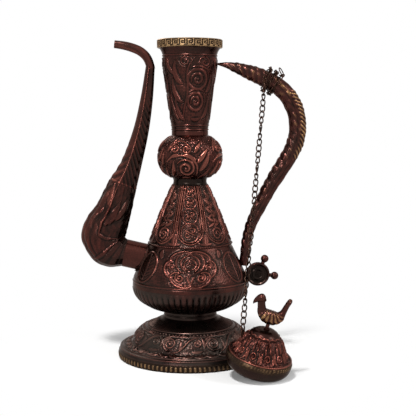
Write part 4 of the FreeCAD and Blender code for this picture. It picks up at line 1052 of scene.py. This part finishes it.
def tubeCarve(share, run, half):
    # a ridge up the front, slanting flutes on its right and short ones on its left, a lap over the boot
    spec = tubeSpec
    p = (share - spec["ridge"]) * half
    line = bump(p)
    inside = ease(-p, 0.6, 1.6) * (1 - ease(-share, 0.7, 0.95)) * (1 - ease(run, *spec["fluteEnd"]))
    flutes = np.cos(tau * (run - spec["slant"] * p) / spec["flute"]) * inside
    left = ease(p, 1.0, 2.0) * (1 - ease(run, 10, 60))
    short = np.cos(tau * (run + 1.2 * p) / 9.0) * left
    lap = bump((run - 1.4) / 1.2)
    height = 0.55 * line + 0.32 * flutes + 0.3 * short + 0.3 * lap - 0.3 * bump((share - 0.66) / 0.1)
    # painted shade and light: the fluted side towards the body is darkened, and the outer side lightened
    tone = 0.4 + 0.275 * line + 0.16 * flutes + 0.2 * short + 0.25 * lap - 0.16 * inside
    return height, tone + 0.1 * ease(share, 0.3, 0.9)


for spec, carve in ((bootSpec, bootCarve), (tubeSpec, tubeCarve)):
    skin, lining, *grids = spoutSkin(spec)
    sweptPiece(spec, skin, *carve(*grids), lining)

centre = spoutPlace(*smoothRows(nozzleRows, nozzleSpec["along"]).T)
across = acrossLine(centre)
run = lengths(centre)
turn, outline = roundLine(nozzleSpec["around"], -1)
radius = np.interp(run, [0, run[-1]], nozzleSpec["radii"])
bore = radius - spoutFrame["wall"]
theta, run = np.meshgrid(turn, run, indexing="ij")
twist = np.cos(nozzleSpec["strands"] * theta + run / nozzleSpec["twist"])
skin, lining = [sections(centre, across, half, half, outline) for half in (radius, bore)]
sweptPiece(nozzleSpec, skin, 0.22 * twist, 0.52 + 0.12 * twist, lining)
print("spout done")

# Handle: a bent bar with soft ridges above, hatched outer edge and jointed inner edge

handleFrame = {"root": 28.3, "reach": 112.0, "level": 103.5, "rise": 202.0, "thickness": 17.8, "depth": 0.88}
handleRows = [  # across, up and thickness as shares
    (0.0, 1.0, 0.1), (0.13, 0.993, 0.37), (0.28, 0.975, 0.66), (0.455, 0.949, 0.88), (0.58, 0.927, 0.95),
    (0.715, 0.898, 0.97), (0.828, 0.86, 0.98), (0.915, 0.812, 1.0), (0.98, 0.748, 1.0), (1.0, 0.676, 0.99),
    (0.977, 0.605, 0.97), (0.898, 0.53, 0.95), (0.793, 0.46, 0.93), (0.67, 0.377, 0.85), (0.566, 0.294, 0.77),
    (0.467, 0.211, 0.66), (0.392, 0.127, 0.57), (0.356, 0.042, 0.53), (0.335, -0.04, 0.53)]
handleSpec = {"name": "ridgedHandle", "node": "handle", "look": "wornBrass", "around": 120, "along": 540,
              "fullCarving": 6.0,  # half thickness from which the carving has its full height
              # rows between which each pattern comes in, and then dies out
              "hatched": (6.1, 6.6, 10.8, 11.4), "jointed": (8.8, 10.0, 16.8, 17.6),
              "scaled": (0.6, 1.6, 4.6, 5.4), "veined": (6.2, 7.0, 11.5, 12.5), "bosses": (5.55, 6.35),
              "hatch": 4.2, "joint": 8.3, "scale": 6.5, "vein": 5.0}


def handleCarve(theta, run, row):
    # side turns from the outer edge over the front to the inner edge; row counts the rows along the bar
    spec = handleSpec
    side = np.abs((theta + math.pi) % tau - math.pi)  # the back mirrors the front
    hatched = span(row, *spec["hatched"]) * (1 - ease(side, 1.15, 1.45))
    hatch = np.cos(tau * (run + 6.0 * side) / spec["hatch"]) * hatched
    jointed = span(row, *spec["jointed"])
    cell = ((run - 4.0 * np.cos(side)) / spec["joint"]) % 1.0 - 0.5
    bead = np.clip(1 - (cell / 0.46) ** 2, 0, None) * jointed * ease(side, 1.75, 2.1)
    groove = bump((np.abs(cell) - 0.5) / 0.12) * jointed * ease(side, 1.5, 1.9)
    seam = bump((side - 1.62) / 0.11) * ease(row, 3.0, 7.0) + bump((side - 1.14) / 0.1) * ease(row, 6.0, 8.0)
    seam = seam * (1 - ease(row, 16.0, 18.0))
    scales = np.cos(tau * (run - 3.5 * side) / spec["scale"]) * span(row, *spec["scaled"])
    veins = np.cos(tau * (0.55 * run + 7.0 * side) / spec["vein"]) * span(row, *spec["veined"])
    veins = veins * span(side, 1.2, 1.45, 1.9, 2.2)
    mottle = np.cos(run / 3.1 + 2 * np.sin(side * 2.3)) * np.cos(side * 4.1 + 1.5 * np.sin(run / 5.7))
    height = 0.45 * hatch + 0.65 * bead - 0.45 * groove - 0.35 * seam
    height = height + 0.32 * scales + 0.4 * mottle + 0.25 * veins
    tone = 0.48 + 0.42 * hatch * hatched + 0.14 * hatched + 0.02 * bead - 0.32 * groove - 0.24 * seam
    tone = tone + 0.12 * scales + 0.12 * mottle + 0.1 * veins
    for place in spec["bosses"]:
        knob = bump(np.hypot((row - place) / 0.42, (side - 1.3) / 0.4))
        height = np.maximum(height, 1.3 * knob)
        tone = tone + 0.26 * knob
    return height, tone


rows = smoothRows(handleRows, handleSpec["along"])
x = handleFrame["root"] + (handleFrame["reach"] - handleFrame["root"]) * rows[:, 0]
centre = np.stack([x, 0 * x, handleFrame["level"] + handleFrame["rise"] * rows[:, 1]], axis=1)
half = handleFrame["thickness"] * rows[:, 2] / 2
turn, outline = roundLine(handleSpec["around"])
theta, run = np.meshgrid(turn, lengths(centre), indexing="ij")
row = np.broadcast_to(np.linspace(0, len(handleRows) - 1, len(rows)), theta.shape)
height, tone = handleCarve(theta, run, row)
skin = sections(centre, acrossLine(centre), half, half * handleFrame["depth"], outline)
sweptPiece(handleSpec, skin, height * np.clip(half / handleSpec["fullCarving"], 0, 1), tone)
print("handle done")

# Lid: a chased dome under a scalloped cap, a milled lip, a speckled band and a plain seat

domeSpec = {"name": "chasedDome", "node": "lid_dome", "around": 420, "step": 0.4, "look": "rubbedBrass",
            "repeats": 11, "phase": 0.2, "reference": 24.0, "widen": 4.0, "stretch": 1.4,
            "relief": 1.4, "ground": 0.47, "gain": 0.66, "worms": (40, 3.6, 0.32),
            "drawn": ([0, 0.05, 0.14, 0.3, 0.55, 0.8, 1], [0.0, 0.03, 0.1, 0.15, 0.17, 0.13, 0.04])}
capSpec = {"name": "scallopedCap", "node": "lid_cap", "around": 200, "step": 0.35, "look": "rubbedBrass",
           "scallops": 14}
lipSpec = {"name": "beadedLip", "node": "lid_lip", "around": 300, "step": 0.2, "look": "agedBrass", "edge": 0.2,
           "beads": 90}
lidBandSpec = {"name": "lidBand", "node": "lid_band", "around": 420, "step": 0.3, "look": "brightBrass",
               "edge": 0.3, "marks": 60}
seatSpec = {"name": "lidSeat", "node": "lid_seat", "around": 240, "step": 0.6, "look": "agedBrass", "tone": 0.2}


def domeStrokes(length):
    # a scroll low on the dome and leaves round it
    shares = [  # width, rise, and the points of a leaf: across in millimetres, up as a share of the dome
        (1.5, 1.0, (-3, 0.45), (-5, 0.62), (-2.5, 0.86)), (1.4, 1.0, (2.4, 0.5), (4.6, 0.66), (2, 0.92)),
        (1.7, 1.0, (7, 0.08), (10, 0.3), (6.4, 0.52)), (1.6, 1.0, (-7, 0.08), (-9.5, 0.3), (-7.5, 0.56)),
        (1.0, 0.9, (0, 0.68), (0.6, 0.78), (0, 0.95))]
    strokes = scroll((0, length * 0.3), 4.6, 1.2, 260, -1.5, 30, 0.9, 0.9)
    for width, rise, *points in shares:
        strokes += leaves((width, rise, *[(across, length * up) for across, up in points]))
    return strokes + leaves((1.0, 0.8, (-4, 1.2), (0, 0.6), (4, 1.2)))


def domeCarve(theta, radius, level, run):
    # strokes that draw together with the radius, towards the top
    spec = domeSpec
    across = spec["stretch"] * np.clip(radius + spec["widen"], 0, spec["reference"])
    p = fold(theta, spec["repeats"], spec["phase"]) * across
    height, cut = chased(p, run, domeStrokes(run.max()))
    height, tone = toned(spec, spec["relief"] * height, cut)
    return grounded(spec, height, tone, theta, run, 1.0)


def capCarve(theta, radius, level, run):
    # one raised line, whose place along the wall waves with the angle
    wave = 0.5 + 0.5 * np.cos(theta * capSpec["scallops"])
    edge = bump((run - 1.2 - 1.3 * wave) / 1.0)
    return 0.5 * edge, 0.3 + 0.6 * edge - 0.1 * ease(run, run.max() * 0.5, run.max())


def lipCarve(theta, radius, level, run):
    # fine beads, as a cosine of the angle
    bead = np.cos(theta * lipSpec["beads"])
    return 0.08 * bead, 0.86 + 0.1 * bead


def lidBandCarve(theta, radius, level, run):
    # specks where two bent waves meet, most of them to the right
    marks = np.cos(theta * lidBandSpec["marks"] + 3 * np.sin(run)) * np.cos(1.9 * run + 2.2 * np.sin(7 * theta))
    inside = span(run / run.max(), 0.3, 0.42, 0.8, 0.9)
    specks = ease(marks, 0.1, 0.6) * inside * (0.6 + 0.4 * np.sin(theta - 0.3))
    return 0.3 * specks, 0.34 + 0.55 * specks


lidPieces = [(domeSpec, domeCarve), (capSpec, capCarve), (lipSpec, lipCarve), (lidBandSpec, lidBandCarve),
             (seatSpec, evenTone(seatSpec["tone"]))]
for spec, carve in lidPieces:
    turnedPiece(spec, carve, lidAxis, "lid")
print("lid done")

# Bird: one sweep from the neck to the tip of the tail, with folded wings, and one from the beak over the head

birdFrame = {"length": 32.4, "height": 33.0, "lift": 27.55, "girth": 13.2}
birdRows = [  # along, up, girth and depth as shares
    (-0.37, 0.85, 0.56, 0.95), (-0.36, 0.755, 0.56, 0.9), (-0.315, 0.6, 0.6, 0.92), (-0.255, 0.46, 0.76, 0.95),
    (-0.11, 0.36, 0.98, 0.95), (0.09, 0.335, 1.0, 0.95), (0.25, 0.39, 0.78, 0.95), (0.335, 0.53, 0.5, 1.0),
    (0.4, 0.77, 0.36, 1.1), (0.455, 0.93, 0.34, 1.1), (0.47, 1.0, 0.2, 1.0)]
headRows = [
    (-0.577, 0.644, 0.05, 1.0), (-0.562, 0.7, 0.2, 1.0), (-0.51, 0.775, 0.38, 0.95), (-0.43, 0.835, 0.58, 0.95),
    (-0.36, 0.87, 0.64, 0.95), (-0.3, 0.895, 0.5, 0.8), (-0.265, 0.91, 0.16, 0.8)]
bodySpec = {"name": "birdBody", "node": "bird_finial", "look": "wornBrass", "slot": "aged_brass",
            "around": 96, "along": 220, "rows": birdRows, "wing": (2.7, 3.2, 6.4, 7.2), "tail": (7.2, 8.0)}
headSpec = {"name": "birdHead", "node": "bird_finial", "look": "wornBrass", "slot": "aged_brass",
            "around": 64, "along": 80, "rows": headRows, "comb": (3.0, 4.0, 5.2, 6.0), "beakEnd": 1.4}


def birdSkin(spec):
    # sections square to the line, in the plane of the lid's axis and of the level line leant over with it
    centre, _, _, up = lidAxis
    lean = np.cross([0, 0, 1.0], up)
    forward = np.array([1.0, 0, 0])
    forward = forward + np.cross(lean, forward) + np.cross(lean, np.cross(lean, forward)) / (1 + up[2])
    sideways = np.cross(forward, up)  # towards the viewer
    rows = smoothRows(spec["rows"], spec["along"])
    places = centre / mm + up * birdFrame["lift"]
    places = places + forward * (birdFrame["length"] * rows[:, :1]) + up * (birdFrame["height"] * rows[:, 1:2])
    half = birdFrame["girth"] * rows[:, 2] / 2
    turn, outline = roundLine(spec["around"])
    theta, row = np.meshgrid(turn, np.linspace(0, len(spec["rows"]) - 1, spec["along"]), indexing="ij")
    across = acrossLine(places, sideways)
    return sections(places, across, half, half * rows[:, 3], outline, sideways), theta, row


def bodyCarve(theta, row):
    # wings lie on both flanks, with rows of round feathers behind a scroll at the breast
    wing = ease(np.abs(np.sin(theta)), 0.25, 0.5) * span(row, *bodySpec["wing"])
    up = np.cos(theta)
    feather = np.abs(np.sin(5.0 * row + 2.2 * up ** 2 * np.sign(up)))
    breast = bump(np.hypot((row - 3.6) / 0.55, up / 0.6))
    tail = ease(row, *bodySpec["tail"])
    height = 0.7 * wing * (0.45 + 0.55 * feather) + 0.5 * breast + 0.2 * tail * np.cos(7 * theta)
    return height, 0.52 + 0.62 * wing * feather - 0.3 * wing + 0.3 * breast + 0.14 * tail


def headCarve(theta, row):
    # a comb over the crown and a darker beak
    comb = bump((np.cos(theta) + 1) / 0.25) * span(row, *headSpec["comb"])
    return comb, 0.56 - 0.25 * comb - 0.12 * (row < headSpec["beakEnd"])


for spec, carve in ((bodySpec, bodyCarve), (headSpec, headCarve)):
    skin, theta, row = birdSkin(spec)
    sweptPiece(spec, skin, *carve(theta, row), body="lid")
print("bird done")

# Scroll end: a dished disc that faces the viewer, with a raised ring in its hollow

discSpec = {"name": "dishedDisc", "node": "scroll_end", "look": "wornBrass", "around": 128, "along": 40,
            "grow": 1.0, "dish": 1.0, "rim": (0.72, 0.86), "ring": (0.42, 0.12), "ringRise": 0.45,
            "roundFrom": 0.9}


def dishedDisc(spec):
    # a closed profile of radius and depth turned about the disc's own axis, the dish on both faces
    points = nodePoints(spec["node"]) / mm
    low, high = points.min(axis=0), points.max(axis=0)
    centre = (low + high) / 2
    radius = (high[2] - low[2]) / 2 + spec["grow"]
    deep = (high[1] - low[1]) / 2
    shares = np.linspace(0, 1, spec["along"])
    place, width = spec["ring"]
    hollow = spec["dish"] * (1 - ease(shares, *spec["rim"])) - spec["ringRise"] * bump((shares - place) / width)
    past = np.clip(shares - spec["roundFrom"], 0, None) / (1 - spec["roundFrom"])
    face = np.minimum(deep - hollow, deep * np.sqrt(np.clip(1 - past ** 2, 0, 1)))
    shade = 0.08 + 0.3 * ease(shares, spec["rim"][0], spec["roundFrom"])
    radii = radius * np.r_[shares, shares[::-1]]
    turn = turns(spec["around"])[:, None]
    y = centre[1] - np.r_[face, -face[::-1]] + 0 * turn
    grid = np.stack([centre[0] + radii * np.cos(turn), y, centre[2] + radii * np.sin(turn)], axis=-1) * mm
    return grid[::-1], np.broadcast_to(np.r_[shade, shade[::-1]], y.shape)


gridPiece(discSpec, *dishedDisc(discSpec), False)

# Two ball knobs on short stems stand out from the disc's rim

knobSpec = {"node": "scroll_knobs", "look": "wornBrass", "names": ("upperKnob", "sideKnob"), "around": 48,
            "along": 60, "stem": 0.5, "ball": 1.08, "tone": 0.5}


def ballKnob(spec, points):
    # a stem that flares into a ball: radius against distance, turned about a line out of the disc's centre
    out = points.mean(axis=0)
    out = out / np.linalg.norm(out)
    away = points @ out
    near, far = away.min(), away.max()
    ball = np.linalg.norm(points - away[:, None] * out, axis=1).max() * spec["ball"]
    run = np.linspace(near, far, spec["along"])
    share = (run - (far - ball)) / ball
    radius = np.maximum(ball * np.sqrt(np.clip(1 - share ** 2, 0, 1)), ball * spec["stem"] * (share < 0))
    right = np.cross(out, [0, 1.0, 0])
    turn = turns(spec["around"])[:, None, None]
    ringWay = right * np.cos(turn) + np.cross(out, right) * np.sin(turn)
    return capped(out * run[None, :, None] + ringWay * radius[None, :, None])


disc = nodePoints(discSpec["node"])
centre = (disc.min(axis=0) + disc.max(axis=0)) / 2
points = nodePoints(knobSpec["node"]) - centre
above = points[:, 2] > 0.5 * points[:, 0]
for name, part in zip(knobSpec["names"], (points[above], points[~above])):
    grid = centre + ballKnob(knobSpec, part)
    gridPiece({**knobSpec, "name": name}, grid, np.full(grid.shape[:2], knobSpec["tone"]), False)
print("disc and knobs done")

# Plain nodes keep their CAD shape and take a finish with one tone

plainNodes = [  # finish, tone and nodes
    ("chainBrass", 0.45, ["chain_wrap", "chain_hanger", "chain_top_run", "chain_middle_run", "chain_low_run",
                          "chain_ring", "lid_staple"]),
    ("agedBrass", 0.4, ["finial_peg", "peg_washer", "spout_collar"]),
    # the stub's lifted tone and redder finish are partly a painted highlight
    ("redSheenBrass", 0.5, ["spout_stub"]),
]
for look, tone, names in plainNodes:
    for name in names:
        mesh = nodes[name].data
        mesh.materials.clear()
        mesh.materials.append(metalFinish(look, tone))
print("plain nodes finished")
